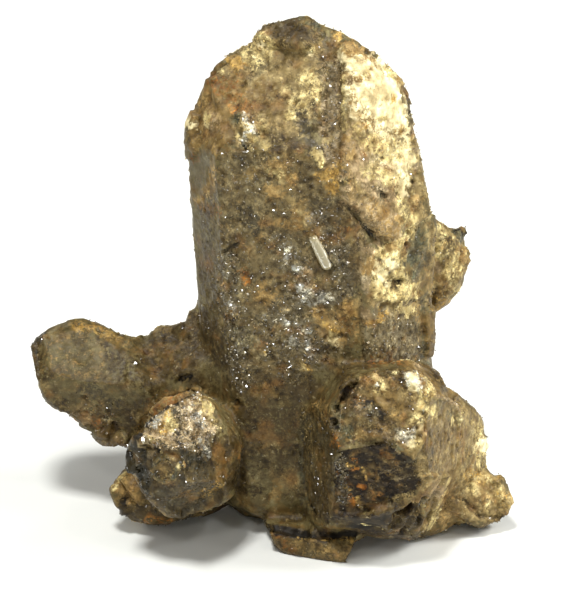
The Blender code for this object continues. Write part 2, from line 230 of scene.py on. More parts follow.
def line(finish, points, radius, amount=1.0):
    """A narrow mark with an even edge."""
    return Patch(finish, points, radius, amount, False, 0.25)


def ring(finish, u, v, radius, width, amount=1.0):
    """A narrow mark around a place."""
    turns = [2 * math.pi * i / 12 for i in range(13)]
    return line(finish, [(u + radius * math.cos(a), v + radius * math.sin(a)) for a in turns], width, amount)


def field(finish, points, amount=1.0, soft=5.0):
    """A broad place with a ragged soft edge."""
    return Patch(finish, points, soft, amount, True)


def face(finish, points, amount=1.0):
    """A crystal face with a crisp edge."""
    return Patch(finish, points, 1.2, amount, True)


# Lines and faces that are both painted and shaped
SCRATCH = [(224, 252), (238, 244)]
PLATE_CRACK = [(342, 202), (358, 218), (371, 234), (386, 248)]
CRUST_PIT = [(394, 281), (401, 280)]
ROD_UPPER_RIDGE = [(302, 212), (312, 236)]
SHOULDER_NOTCH = [(176, 382), (190, 376)]
NOSE_NOTCH = [(143, 446), (158, 451)]
LEFT_FOOT_FACE = [(118, 478), (124, 472), (134, 474), (147, 500), (140, 506), (128, 504), (116, 492)]
COLLAR_GROOVE = [(303, 424), (301, 470), (306, 500), (316, 514)]
END_FACE_SPLIT = [(336, 408), (345, 394), (354, 381)]
RIGHT_CRYSTAL_EDGE = [(432, 395), (446, 399), (456, 407), (460, 420)]
BROKEN_RIDGE = [(446, 476), (434, 508), (421, 540)]
UPPER_BREAK = [(390, 528), (402, 516), (412, 505)]
LOWER_BREAK = [(402, 532), (414, 516), (424, 500)]
DEEP_BREAK = [(427, 500), (418, 524)]
TAIL_GROOVE = [(464, 500), (480, 516), (506, 518)]

# The front right crystal's dark face, which breaks down in little ledges
LEDGED_FACE = [(339, 452), (375, 442), (394, 446), (415, 461), (422, 480), (414, 495), (387, 504), (354, 517),
               (333, 511), (332, 471)]
LEDGE_HEIGHT = 0.9

# Large fields, crystal by crystal
FIELDS = [
    # the main crystal: left side, front, upper left facet, dark strip, pale plate and right side
    field("olive", [(184, 130), (214, 140), (222, 300), (232, 400), (200, 330), (184, 200)]),
    field("druse", [(214, 150), (340, 150), (350, 240), (352, 350), (300, 400), (235, 400),
                    (222, 300)], 0.85),
    field("khaki", [(214, 72), (256, 38), (322, 50), (322, 112), (285, 150), (246, 128), (232, 100)], 0.8),
    field("brown", [(190, 100), (215, 70), (248, 70), (250, 120), (225, 150), (186, 150)], 0.9),
    field("ash", [(322, 40), (342, 44), (344, 120), (340, 176), (322, 170), (320, 100)], 0.9, 3.0),
    field("umber", [(262, 26), (300, 14), (336, 30), (326, 50), (290, 52), (268, 44)], 0.95),
    field("pale", [(346, 56), (372, 52), (400, 78), (408, 124), (392, 176), (360, 140), (344, 110)], 1.0),
    field("tan", [(334, 38), (352, 40), (372, 60), (350, 70), (338, 60)], 0.9),
    field("pink", [(344, 118), (372, 128), (392, 160), (404, 214), (384, 244), (352, 216), (340, 170)], 0.9),
    field("cream", [(384, 140), (418, 140), (420, 176), (396, 186)], 0.9),
    field("khaki", [(396, 180), (426, 176), (432, 232), (404, 240), (392, 214)], 0.8),
    field("cream", [(370, 248), (404, 230), (408, 290), (420, 298), (384, 304), (370, 292)], 1.0),
    field("moss", [(402, 228), (430, 228), (432, 262), (414, 280), (400, 262)], 0.95),
    field("moss", [(362, 306), (428, 302), (430, 364), (364, 360)], 0.85),
    field("ash", [(362, 302), (420, 300), (422, 360), (364, 358)], 0.55),
    field("druse", [(366, 312), (418, 308), (420, 360), (368, 358)], 0.5),
    field("slate", [(334, 206), (344, 236), (357, 250), (360, 296), (346, 294), (334, 262),
                    (326, 226)], 0.7, 3.0),
    field("tan", [(309, 314), (316, 303), (330, 311), (346, 297), (359, 297), (360, 334),
                  (330, 338)], 0.75, 3.0),
    # the right rear crystal
    field("khaki", [(424, 232), (440, 222), (470, 240), (466, 284), (440, 316), (424, 300)], 0.85),
    field("tan", [(426, 270), (462, 270), (446, 312), (428, 308)], 0.5),
    # the left arm and its shoulder
    field("olive", [(30, 350), (60, 318), (110, 322), (140, 345), (140, 400), (90, 392), (36, 392)], 0.9),
    field("umber", [(36, 392), (90, 396), (140, 402), (140, 440), (90, 432), (44, 410)], 0.7),
    field("umber", [(28, 340), (44, 334), (46, 372), (44, 400), (30, 376)], 0.75),
    field("umber", [(140, 322), (205, 306), (230, 330), (236, 402), (176, 380), (142, 398)], 0.78),
    field("tan", [(48, 338), (75, 330), (104, 345), (108, 375), (75, 378), (46, 364)], 0.2),
    field("umber", [(96, 334), (136, 344), (180, 330), (196, 380), (150, 396), (112, 380)], 0.45),
    field("olive", [(56, 396), (84, 398), (120, 410), (116, 432), (84, 420)], 0.5),
    # the front left crystal with its rusty rim, and the crystal under it
    field("brown", [(108, 480), (130, 468), (176, 512), (172, 526), (128, 520)], 0.9),
    face("tan", [(137, 440), (139, 419), (152, 403), (174, 391), (192, 388), (206, 392), (190, 402),
                 (150, 424)], 0.5),
    face("umber", [(126, 455), (142, 436), (186, 447), (240, 440), (246, 470), (222, 502), (176, 522),
                   (138, 492)]),
    face("jet", [(126, 455), (137, 443), (151, 452), (143, 466), (151, 479), (148, 496), (134, 481),
                 (128, 472)]),
    face("jet", [(181, 449), (200, 452), (208, 466), (196, 470), (180, 466)], 0.8),
    face("slate", [(158, 488), (175, 476), (209, 470), (218, 490), (206, 507), (184, 519), (172, 520),
                   (150, 497)], 0.7),
    face("coal", [(204, 452), (220, 440), (238, 446), (240, 464), (212, 468)], 0.8),
    face("lustre", [(142, 437), (146, 427), (152, 418), (168, 407), (180, 401), (190, 398), (196, 392),
                    (207, 398), (212, 408), (217, 420), (218, 428), (213, 437), (204, 449), (198, 452),
                    (186, 447), (168, 449), (156, 448), (144, 444)]),
    # the collar, the front right crystal and the right crystal
    field("umber", [(230, 384), (350, 366), (336, 470), (330, 520), (262, 524), (236, 460)], 0.95),
    field("umber", [(238, 350), (296, 352), (300, 396), (240, 398)], 0.5),
    field("olive", [(232, 404), (328, 400), (326, 446), (240, 446)], 0.3),
    field("slate", [(302, 410), (334, 416), (337, 449), (336, 477), (333, 518), (300, 505)], 0.55, 3.0),
    field("umber", [(340, 386), (404, 362), (432, 380), (426, 430), (392, 448), (342, 444)], 0.9),
    field("crumbly", [(346, 378), (404, 366), (428, 384), (426, 430), (404, 444), (350, 438)], 0.85),
    face("coal", [(339, 452), (350, 449), (375, 442), (394, 446), (415, 461), (422, 480), (414, 495),
                  (387, 504), (354, 517), (333, 511), (332, 471)]),
    field("brown", [(404, 366), (440, 372), (484, 420), (500, 470), (466, 520), (424, 532), (424, 440)], 0.8),
    field("khaki", [(428, 398), (452, 402), (460, 420), (455, 468), (432, 476), (424, 440)], 0.4),
    field("khaki", [(460, 400), (470, 406), (488, 430), (500, 474), (470, 474), (458, 466), (462, 420)], 0.8),
    field("cream", [(472, 424), (486, 430), (492, 474), (476, 472)], 0.65),
    field("umber", [(326, 506), (350, 516), (404, 500), (420, 510), (424, 536), (420, 546),
                    (340, 530)], 0.8, 3.0),
    field("khaki", [(455, 470), (500, 474), (515, 504), (500, 528), (458, 524)], 1.0),
    # the flake under the front, brown on its lower front; its darker umber band along the top is painted
    # shade under the body's overhang
    field("umber", [(262, 522), (360, 536), (352, 568), (274, 556)], 0.8),
    field("brown", [(262, 534), (360, 540), (352, 568), (274, 556)], 0.5),
]

# Crusts, stains and bare places of the main crystal's upper part
UPPER_MARKS = [
    streak("slate", [(206, 76), (230, 52), (256, 30)], 3, 0.9),
    streak("umber", [(274, 34), (300, 26), (320, 40)], 9, 0.8),
    spot("cream", 262, 39, 8, 0.9),
    streak("umber", [(226, 58), (216, 66)], 4, 0.5),
    streak("brown", [(262, 88), (284, 98), (296, 110)], 9, 0.7),
    streak("umber", [(254, 66), (248, 84)], 4, 0.4),
    streak("moss", [(252, 50), (262, 64)], 5, 0.3),
    streak("moss", [(306, 24), (318, 34), (330, 48)], 6, 0.7),
    spot("khaki", 314, 44, 8, 0.8),
    streak("cream", [(250, 62), (268, 54)], 8, 0.6),
    streak("cream", [(246, 54), (256, 45), (270, 46)], 6, 0.8),
    spot("cream", 309, 51, 5, 0.8),
    streak("cream", [(340, 52), (348, 58), (354, 64)], 6, 0.8),
    spot("gold", 236, 64, 9, 0.9),
    *spots("cream", 3, 1.0, [(222, 72), (230, 73)]),
    streak("rust", [(210, 82), (236, 84), (236, 102)], 9, 0.45),
    spot("black", 243, 84, 4, 0.7),
    spot("black", 240, 105, 2.5, 0.9),
    streak("orange", [(233, 108), (236, 116)], 3, 0.4),
    spot("rust", 251, 106, 7, 0.8),
    streak("brown", [(256, 108), (276, 106), (290, 120)], 7, 0.4),
    field("cream", [(241, 118), (254, 113), (266, 119), (264, 134), (253, 147), (240, 146)], 0.8, 3.0),
    streak("white", [(247, 119), (251, 130), (245, 141)], 4.5, 0.8),
    spot("moss", 237, 118, 5, 0.8),
    streak("moss", [(248, 139), (258, 133)], 2.2, 0.8),
    streak("black", [(240, 144), (246, 145)], 3, 0.9),
    spot("black", 262, 132, 2.5, 0.9),
    spot("moss", 254, 140, 4, 0.8),
    spot("slate", 240, 156, 6, 0.8),
    spot("pink", 211, 122, 8, 0.9),
    spot("cream", 209, 124, 4, 0.8),
    spot("brown", 213, 124, 3, 0.9),
    spot("cream", 208, 118, 2.5),
    streak("cream", [(305, 76), (315, 84), (314, 97)], 7, 0.8),
    streak("cream", [(286, 92), (296, 106), (306, 112)], 5, 0.7),
    streak("slate", [(300, 116), (306, 134), (314, 150)], 8, 0.8),
    streak("umber", [(276, 136), (294, 144), (300, 152)], 7, 0.7),
    spot("cream", 265, 144, 4, 0.9),
    streak("gold", [(190, 116), (188, 134)], 3, 0.8),
    spot("gold", 338, 37, 4, 0.6),
    streak("cream", [(331, 52), (332, 60)], 2.2, 0.9),
    *spots("cream", 2.2, 0.9, [(329, 82), (336, 94)]),
    streak("khaki", [(327, 66), (328, 76)], 2.0, 0.7),
    streak("khaki", [(337, 118), (335, 136)], 2.0, 0.6),
    line("slate", [(331, 46), (333, 100), (331, 160)], 1.3, 0.7),
    line("umber", [(339, 48), (341, 110), (339, 165)], 1.6, 0.5),
    streak("olive", [(346, 104), (350, 128)], 6, 0.7),
    streak("slate", [(398, 76), (406, 96), (410, 122)], 3, 0.8),
    streak("tan", [(343, 76), (356, 80), (366, 76)], 3.5, 0.7),
    streak("tan", [(352, 104), (357, 114)], 4, 0.6),
    streak("khaki", [(384, 130), (396, 134)], 4, 0.5),
    streak("cream", [(358, 134), (376, 140)], 5, 0.5),
    streak("pale", [(392, 168), (408, 160)], 6, 0.8),
    spot("cream", 402, 188, 6, 0.9),
    streak("tan", [(346, 172), (350, 196)], 4, 0.8),
    streak("brown", [(378, 206), (392, 224), (386, 240)], 8, 0.4),
    streak("khaki", [(352, 92), (356, 106)], 4, 0.5),
    streak("cream", [(384, 70), (398, 86)], 4, 0.6),
    spot("brown", 388, 99, 2.2, 0.8),
    spot("brown", 372, 68, 2.0, 0.5),
    spot("gold", 390, 99, 4, 0.8),
    spot("gold", 364, 126, 5, 0.7),
    spot("gold", 398, 130, 4, 0.7),
    streak("tan", [(350, 138), (366, 146), (380, 144)], 7, 0.7),
    streak("cream", [(366, 170), (380, 174), (392, 178)], 7, 0.7),
    streak("pale", [(382, 160), (398, 152), (406, 146)], 6, 0.6),
    streak("khaki", [(366, 150), (378, 158), (372, 168)], 4, 0.6),
    streak("khaki", [(352, 180), (360, 196)], 5, 0.7),
    streak("cream", [(396, 192), (402, 208), (400, 220)], 4, 0.6),
    streak("cream", [(410, 188), (416, 206)], 3, 0.6),
    streak("umber", [(366, 186), (380, 190)], 3, 0.5),
    streak("brown", [(348, 60), (350, 82)], 4, 0.6),
    spot("rust", 362, 156, 4, 0.5),
    spot("brown", 384, 154, 5, 0.7),
    spot("black", 383, 196, 3.5, 0.9),
    spot("black", 414, 182, 2.5, 0.8),
    spot("moss", 382, 200, 5, 0.6),
    streak("gold", [(376, 206), (386, 214)], 4, 0.8),
    streak("pink", [(366, 210), (386, 222), (394, 236)], 7, 0.8),
    streak("umber", [(270, 148), (284, 151), (296, 149)], 5, 0.7),
    streak("umber", [(312, 104), (316, 114)], 4, 0.7),
    streak("tan", [(370, 204), (384, 222), (392, 238)], 8, 0.5),
    streak("khaki", [(262, 46), (280, 50), (298, 50)], 6, 0.9),
    streak("cream", [(258, 46), (270, 48)], 4, 0.8),
    spot("cream", 311, 53, 5, 0.9),
    spot("khaki", 303, 103, 5, 0.9),
    streak("khaki", [(356, 112), (376, 124), (392, 122)], 6, 0.4),
    streak("cream", [(396, 190), (404, 192)], 4, 0.9),
    streak("cream", [(338, 50), (349, 61), (362, 70)], 6, 0.95),
    streak("cream", [(343, 80), (344, 128)], 2.5, 0.7),
    streak("tan", [(206, 102), (204, 132)], 8, 0.5),
    streak("khaki", [(266, 120), (296, 132)], 7, 0.6),
    streak("cream", [(358, 136), (386, 152), (396, 164)], 7, 0.6),
    streak("pale", [(398, 168), (408, 184)], 6, 0.8),
    streak("khaki", [(343, 170), (346, 204)], 5, 1.0),
    streak("cream", [(344, 176), (346, 196)], 2.5, 0.6),
    spot("cream", 266, 145, 4, 0.9),
    streak("khaki", [(237, 130), (238, 144)], 3, 0.8),
    streak("ash", [(346, 208), (360, 230), (362, 256), (366, 290)], 6, 0.7),
    streak("black", PLATE_CRACK, 2.2, 0.65),
    streak("umber", [(338, 204), (352, 224), (366, 244)], 5, 0.6),
    streak("cream", [(314, 152), (322, 164), (318, 156)], 3.5, 1.0),
    spot("cream", 328, 140, 4, 0.7),
    streak("gold", [(322, 176), (338, 168), (334, 188)], 5, 0.8),
    streak("moss", [(342, 172), (346, 196)], 3, 0.7),
    streak("tan", [(274, 168), (286, 180)], 9, 0.9),
    streak("cream", [(270, 170), (286, 180)], 5, 0.6),
    streak("tan", [(270, 192), (282, 190)], 6, 0.8),
    streak("khaki", [(292, 200), (302, 210)], 5, 0.9),
    streak("tan", [(300, 204), (312, 236)], 7, 0.7),
    streak("khaki", ROD_UPPER_RIDGE, 3.0, 1.0),
    streak("slate", [(318, 206), (330, 224), (344, 246)], 9, 0.7),
    streak("tan", [(280, 222), (290, 228)], 4, 0.7),
    spot("tan", 260, 237, 5, 0.8),
    streak("slate", [(246, 214), (256, 228)], 8, 0.7),
    streak("tan", [(214, 168), (212, 180), (206, 196), (198, 202)], 4, 0.75),
    streak("rust", [(204, 206), (216, 212)], 5, 0.5),
    spot("rust", 195, 158, 4, 0.5),
]

# The main crystal's lower part, with its right side
LOWER_MARKS = [
    streak("black", SCRATCH, 1.5, 0.8),
    streak("orange", [(243, 272), (246, 284)], 3, 0.5),
    streak("tan", [(262, 294), (278, 304)], 8, 0.8),
    spot("gold", 280, 307, 4, 0.9),
    spot("rust", 260, 345, 5, 0.6),
    streak("moss", [(240, 326), (246, 346)], 8, 0.4),
    streak("crumbly", [(350, 390), (366, 398), (372, 420)], 9, 0.5),
    streak("gold", [(312, 280), (316, 292)], 3, 1.0),
    streak("gold", [(320, 322), (338, 332)], 4, 0.6),
    streak("gold", [(346, 304), (352, 316)], 4, 0.6),
    streak("umber", [(330, 312), (338, 320)], 3, 0.6),
    streak("black", [(290, 300), (299, 304), (298, 311)], 5, 0.8),
    streak("tan", [(320, 333), (340, 340)], 6, 0.9),
    streak("khaki", [(360, 302), (384, 306), (412, 310)], 6, 0.5),
    streak("cream", [(394, 262), (402, 280)], 4, 0.7),
    streak("umber", [(334, 304), (346, 312), (344, 322)], 4, 0.6),
    streak("umber", [(206, 200), (210, 260), (214, 310)], 6, 0.5),
    streak("umber", [(206, 250), (212, 290), (226, 312)], 7, 0.5),
    streak("umber", [(244, 362), (270, 376), (296, 384)], 12, 0.4),
    streak("khaki", [(366, 256), (370, 272)], 4, 0.7),
    streak("olive", [(206, 366), (226, 392)], 8, 0.7),
    streak("umber", [(357, 256), (357, 270), (361, 300), (362, 340), (365, 366)], 2.0, 0.45),
    *spots("rust", 4, 0.6, [(342, 320), (352, 328)]),
    spot("orange", 349, 229, 3, 0.9),
    spot("black", 346, 227, 1.8, 0.9),
    streak("gold", [(304, 362), (308, 370)], 4, 0.9),
    spot("cream", 303, 366, 3.0, 0.9),
    spot("gold", 265, 353, 2, 0.9),
    spot("cream", 243, 369, 2.2, 0.9),
    spot("black", 235, 403, 3, 0.6),
    streak("olive", [(198, 368), (221, 381)], 2, 0.6),
    streak("pale", [(370, 262), (380, 274), (384, 292)], 6, 0.7),
    streak("brown", [(397, 266), (402, 274)], 4, 0.5),
    streak("brown", [(366, 252), (378, 250)], 3, 0.5),
    streak("cream", [(380, 252), (398, 244), (402, 256)], 4, 0.8),
    streak("cream", [(413, 216), (410, 232), (402, 242)], 4, 0.9),
    streak("cream", [(376, 292), (404, 294), (416, 290)], 6, 0.9),
    streak("umber", [(370, 256), (384, 262), (392, 258)], 1.5, 0.7),
    streak("umber", [(374, 270), (388, 267)], 1.5, 0.6),
    streak("umber", [(390, 276), (384, 284)], 1.5, 0.7),
    streak("black", CRUST_PIT, 2.4, 0.9),
    spot("black", 406, 244, 2.4, 0.8),
    spot("black", 388, 272, 1.6, 0.6),
    streak("cream", [(436, 228), (438, 262)], 3.5, 0.9),
    spot("gold", 370, 324, 3.5, 0.9),
    streak("gold", [(380, 320), (384, 312)], 3.5, 0.8),
    streak("tan", [(414, 306), (418, 320)], 4, 0.6),
    streak("brown", [(426, 318), (428, 354)], 5, 0.8),
    streak("umber", [(364, 364), (390, 359), (414, 367)], 5, 0.8),
    streak("rust", [(370, 363), (390, 360), (410, 365)], 2.5, 0.5),
    # the right rear crystal
    streak("umber", [(442, 240), (454, 250)], 6, 0.6),
    streak("umber", [(450, 282), (440, 290)], 4, 0.5),
    streak("cream", [(446, 270), (456, 258), (462, 246)], 4, 0.6),
    streak("moss", [(457, 230), (464, 240)], 5, 0.8),
    streak("black", [(458, 228), (464, 236)], 4, 0.5),
    streak("cream", [(464, 254), (452, 268), (444, 280)], 3, 0.7),
    streak("cream", [(436, 236), (450, 246), (460, 262), (446, 284)], 7, 0.4),
    streak("umber", [(430, 296), (444, 290)], 5, 0.6),
    streak("gold", [(448, 286), (436, 304)], 5, 0.5),
]

# The left arm and the lower crystals
SIDE_MARKS = [
    streak("gold", [(76, 326), (96, 328), (118, 338)], 4, 0.6),
    streak("brown", [(110, 338), (136, 348)], 5, 0.5),
    streak("jet", [(34, 353), (37, 343), (44, 336)], 4, 0.5),
    streak("slate", [(84, 388), (112, 404)], 8, 0.5),
    streak("crumbly", [(84, 410), (104, 424), (116, 442)], 12, 0.7),
    streak("rust", [(82, 414), (98, 424)], 4, 0.5),
    streak("black", SHOULDER_NOTCH, 2.5, 0.6),
    # the front left crystal and its foot
    line("black", [(140, 438), (142, 428), (151, 415), (168, 403), (182, 396), (194, 393)], 2.2, 0.95),
    streak("rust", [(142, 412), (154, 401), (170, 393)], 2.5, 0.5),
    spot("cream", 189, 396, 2, 0.9),
    streak("cream", [(202, 400), (210, 412), (214, 422)], 5, 0.8),
    streak("silver", [(152, 424), (176, 422)], 4, 0.6),
    streak("silver", [(196, 416), (202, 424)], 4, 0.6),
    streak("gold", [(162, 432), (170, 420), (172, 414)], 4, 0.8),
    streak("slate", [(176, 410), (180, 430), (178, 444)], 4, 0.6),
    streak("pink", [(150, 432), (156, 440), (166, 440)], 5, 0.6),
    streak("black", NOSE_NOTCH, 2.6, 0.95),
    spot("cream", 162, 452, 2.0, 0.8),
    spot("umber", 166, 468, 12, 0.8),
    ring("moss", 166, 468, 12, 2.2, 0.9),
    ring("khaki", 166, 468, 8.5, 1.2, 0.7),
    ring("khaki", 167, 469, 13.5, 1.0, 0.6),
    streak("cream", [(170, 456), (177, 460), (180, 468)], 1.2, 0.7),
    spot("brown", 165, 467, 5, 0.8),
    streak("gold", [(214, 452), (218, 464)], 1.5, 0.7),
    streak("gold", [(226, 466), (233, 473)], 1.5, 0.7),
    spot("white", 226, 459, 2, 0.8),
    streak("orange", [(240, 447), (239, 460)], 2.5, 0.6),
    streak("gold", [(206, 494), (220, 482)], 4, 0.4),
    face("tan", LEFT_FOOT_FACE, 0.6),
    face("umber", [(120, 504), (140, 504), (152, 506), (174, 519), (166, 530), (126, 526)], 0.9),
    line("umber", [(130, 476), (138, 492), (146, 502)], 1.2, 0.7),
    line("cream", [(116, 492), (118, 480), (124, 473)], 1.6, 0.7),
    spot("black", 124, 498, 3.5, 0.8),
    streak("orange", [(150, 520), (170, 522)], 3, 0.25),
    # the collar, the front right crystal and the tail
    streak("olive", [(320, 370), (334, 390), (330, 404)], 9, 0.7),
    streak("black", COLLAR_GROOVE, 1.5, 0.7),
    streak("moss", [(300, 430), (299, 470), (304, 500)], 2, 0.4),
    streak("black", END_FACE_SPLIT, 3, 1.0),
    spot("black", 333, 423, 4, 0.9),
    streak("moss", [(338, 420), (346, 432)], 5, 0.8),
    spot("orange", 334, 441, 4, 0.5),
    spot("cream", 377, 382, 6, 0.8),
    streak("brown", [(362, 400), (398, 400)], 8, 0.7),
    spot("black", 381, 390, 2, 0.7),
    spot("moss", 374, 410, 6, 0.6),
    spot("black", 381, 416, 2, 0.8),
    streak("tan", [(350, 436), (372, 432)], 5, 0.7),
    streak("rust", [(348, 396), (362, 402)], 6, 0.4),
    streak("glitter", [(362, 404), (374, 412)], 6, 0.6),
    streak("umber", [(386, 382), (396, 404), (400, 424)], 4, 0.7),
    streak("white", [(409, 375), (414, 383), (419, 388)], 5, 1.0),
    streak("pale", [(410, 376), (416, 385)], 3, 0.7),
    streak("pink", [(414, 363), (419, 367)], 2.5, 0.6),
    streak("cream", [(421, 376), (430, 386), (436, 398)], 3, 0.6),
    streak("umber", [(432, 371), (440, 380), (445, 389)], 3, 0.7),
    streak("khaki", [(404, 424), (420, 404), (426, 398)], 6, 0.7),
    streak("cream", [(416, 416), (422, 402)], 3, 0.7),
    streak("cream", [(352, 384), (360, 380)], 2.5, 0.6),
    streak("cream", [(388, 376), (396, 372)], 2.5, 0.6),
    streak("tan", [(360, 424), (384, 430)], 4, 0.6),
    streak("cream", [(356, 434), (366, 436)], 2, 0.6),
    spot("cream", 394, 412, 2, 0.6),
    spot("cream", 404, 392, 2.5, 0.6),
    streak("moss", [(352, 414), (368, 424)], 5, 0.6),
    streak("black", [(344, 392), (338, 404)], 4, 0.9),
    spot("moss", 400, 444, 7, 0.8),
    streak("white", [(404, 438), (416, 434)], 5, 0.8),
    streak("black", [(350, 400), (396, 426), (400, 436)], 1.6, 0.4),
    streak("orange", [(350, 460), (357, 463)], 1.3, 0.6),
    streak("gold", [(346, 466), (354, 468)], 1.0, 0.7),
    streak("gold", [(362, 468), (366, 478)], 1.0, 0.6),
    streak("brown", [(376, 470), (392, 478)], 1.6, 0.3),
    streak("brown", [(384, 462), (400, 472)], 1.3, 0.3),
    streak("gold", [(344, 488), (350, 492)], 1.0, 0.7),
    streak("brown", [(370, 486), (384, 490)], 1.6, 0.3),
    streak("orange", [(352, 472), (358, 470)], 1.2, 0.6),
    streak("rust", [(384, 455), (391, 458)], 2.5, 0.8),
    streak("orange", [(358, 487), (364, 490)], 1.6, 0.8),
    streak("rust", [(345, 480), (350, 486)], 2.0, 0.8),
    streak("orange", [(350, 498), (353, 506)], 1.6, 0.9),
    streak("gold", [(356, 500), (360, 508)], 1.4, 0.9),
    streak("rust", [(373, 500), (380, 496)], 2.0, 0.7),
    streak("umber", [(318, 450), (326, 512), (370, 520), (400, 508)], 4, 0.8),
    streak("umber", [(346, 380), (366, 388), (352, 396)], 6, 0.6),
    streak("umber", [(346, 410), (364, 424), (384, 438)], 8, 0.5),
    streak("coal", [(336, 512), (366, 521), (398, 512)], 5, 0.7),
    streak("umber", [(428, 432), (428, 468)], 6, 0.5),
    streak("brown", [(452, 480), (458, 524)], 8, 0.5),
    streak("umber", [(250, 470), (290, 466), (298, 490)], 10, 0.4),
    streak("khaki", [(306, 410), (310, 470)], 4, 0.35),
    # Painted shade: the flake's top darkened where the body overhangs it
    streak("umber", [(272, 530), (326, 538)], 6, 0.7),
    streak("slate", [(150, 441), (166, 443)], 3, 0.6),
    streak("slate", [(188, 436), (198, 446)], 4, 0.6),
    streak("silver", [(203, 440), (208, 452)], 4, 0.5),
    streak("cream", [(421, 422), (421, 434)], 4, 0.8),
    streak("white", [(402, 438), (412, 442)], 4, 0.6),
    streak("cream", [(444, 276), (454, 290)], 3, 0.7),
    streak("tan", [(454, 406), (462, 430)], 4, 0.5),
    streak("khaki", [(388, 380), (404, 396), (424, 392)], 5, 0.6),
    streak("cream", [(408, 424), (420, 418), (424, 400)], 4, 0.7),
    streak("cream", [(398, 432), (404, 444), (416, 444)], 4, 0.7),
    streak("khaki", [(418, 452), (424, 480), (436, 492)], 5, 0.6),
    line("black", [(354, 520), (372, 522), (392, 517), (414, 505)], 2.8, 0.9),
    streak("khaki", [(418, 474), (430, 476), (446, 480)], 4, 0.9),
    streak("khaki", [(452, 408), (460, 428)], 4, 0.6),
    line("pink", RIGHT_CRYSTAL_EDGE, 1.4, 0.6),
    streak("olive", [(438, 405), (450, 414)], 6, 0.5),
    line("khaki", BROKEN_RIDGE, 3.2, 1.0),
    line("cream", [(446, 478), (435, 508), (422, 540)], 1.4, 0.7),
    line("umber", UPPER_BREAK, 2.0, 0.8),
    line("umber", LOWER_BREAK, 1.6, 0.8),
    streak("black", DEEP_BREAK, 2.2, 0.8),
    streak("tan", [(446, 494), (444, 530)], 5, 0.6),
    streak("gold", [(470, 476), (492, 482), (506, 500)], 6, 0.4),
    spot("cream", 474, 488, 5, 0.7),
    line("cream", [(487, 480), (488, 516)], 1.2, 0.5),
    line("cream", [(499, 484), (501, 510)], 1.2, 0.5),
    line("umber", [(464, 520), (480, 528), (500, 526), (508, 514)], 1.6, 0.7),
    streak("cream", [(486, 478), (500, 488)], 3, 0.6),
    line("umber", TAIL_GROOVE, 2.5, 0.6),
    line("brown", [(482, 480), (482, 512)], 1.5, 0.6),
    line("brown", [(494, 484), (494, 516)], 1.5, 0.6),
    # the flake under the front; the black line, the umber streak on its left end and the coal streak to its
    # right are painted shade in the gap under the body
    line("black", [(264, 527), (284, 531), (320, 538), (354, 534)], 5.0, 1.0),
    streak("umber", [(268, 532), (271, 546)], 5, 1.0),
    streak("coal", [(362, 531), (400, 536)], 4, 0.7),
    streak("gold", [(300, 538), (354, 540)], 2.5, 0.6),
    streak("rust", [(276, 534), (290, 548)], 4, 0.5),
]

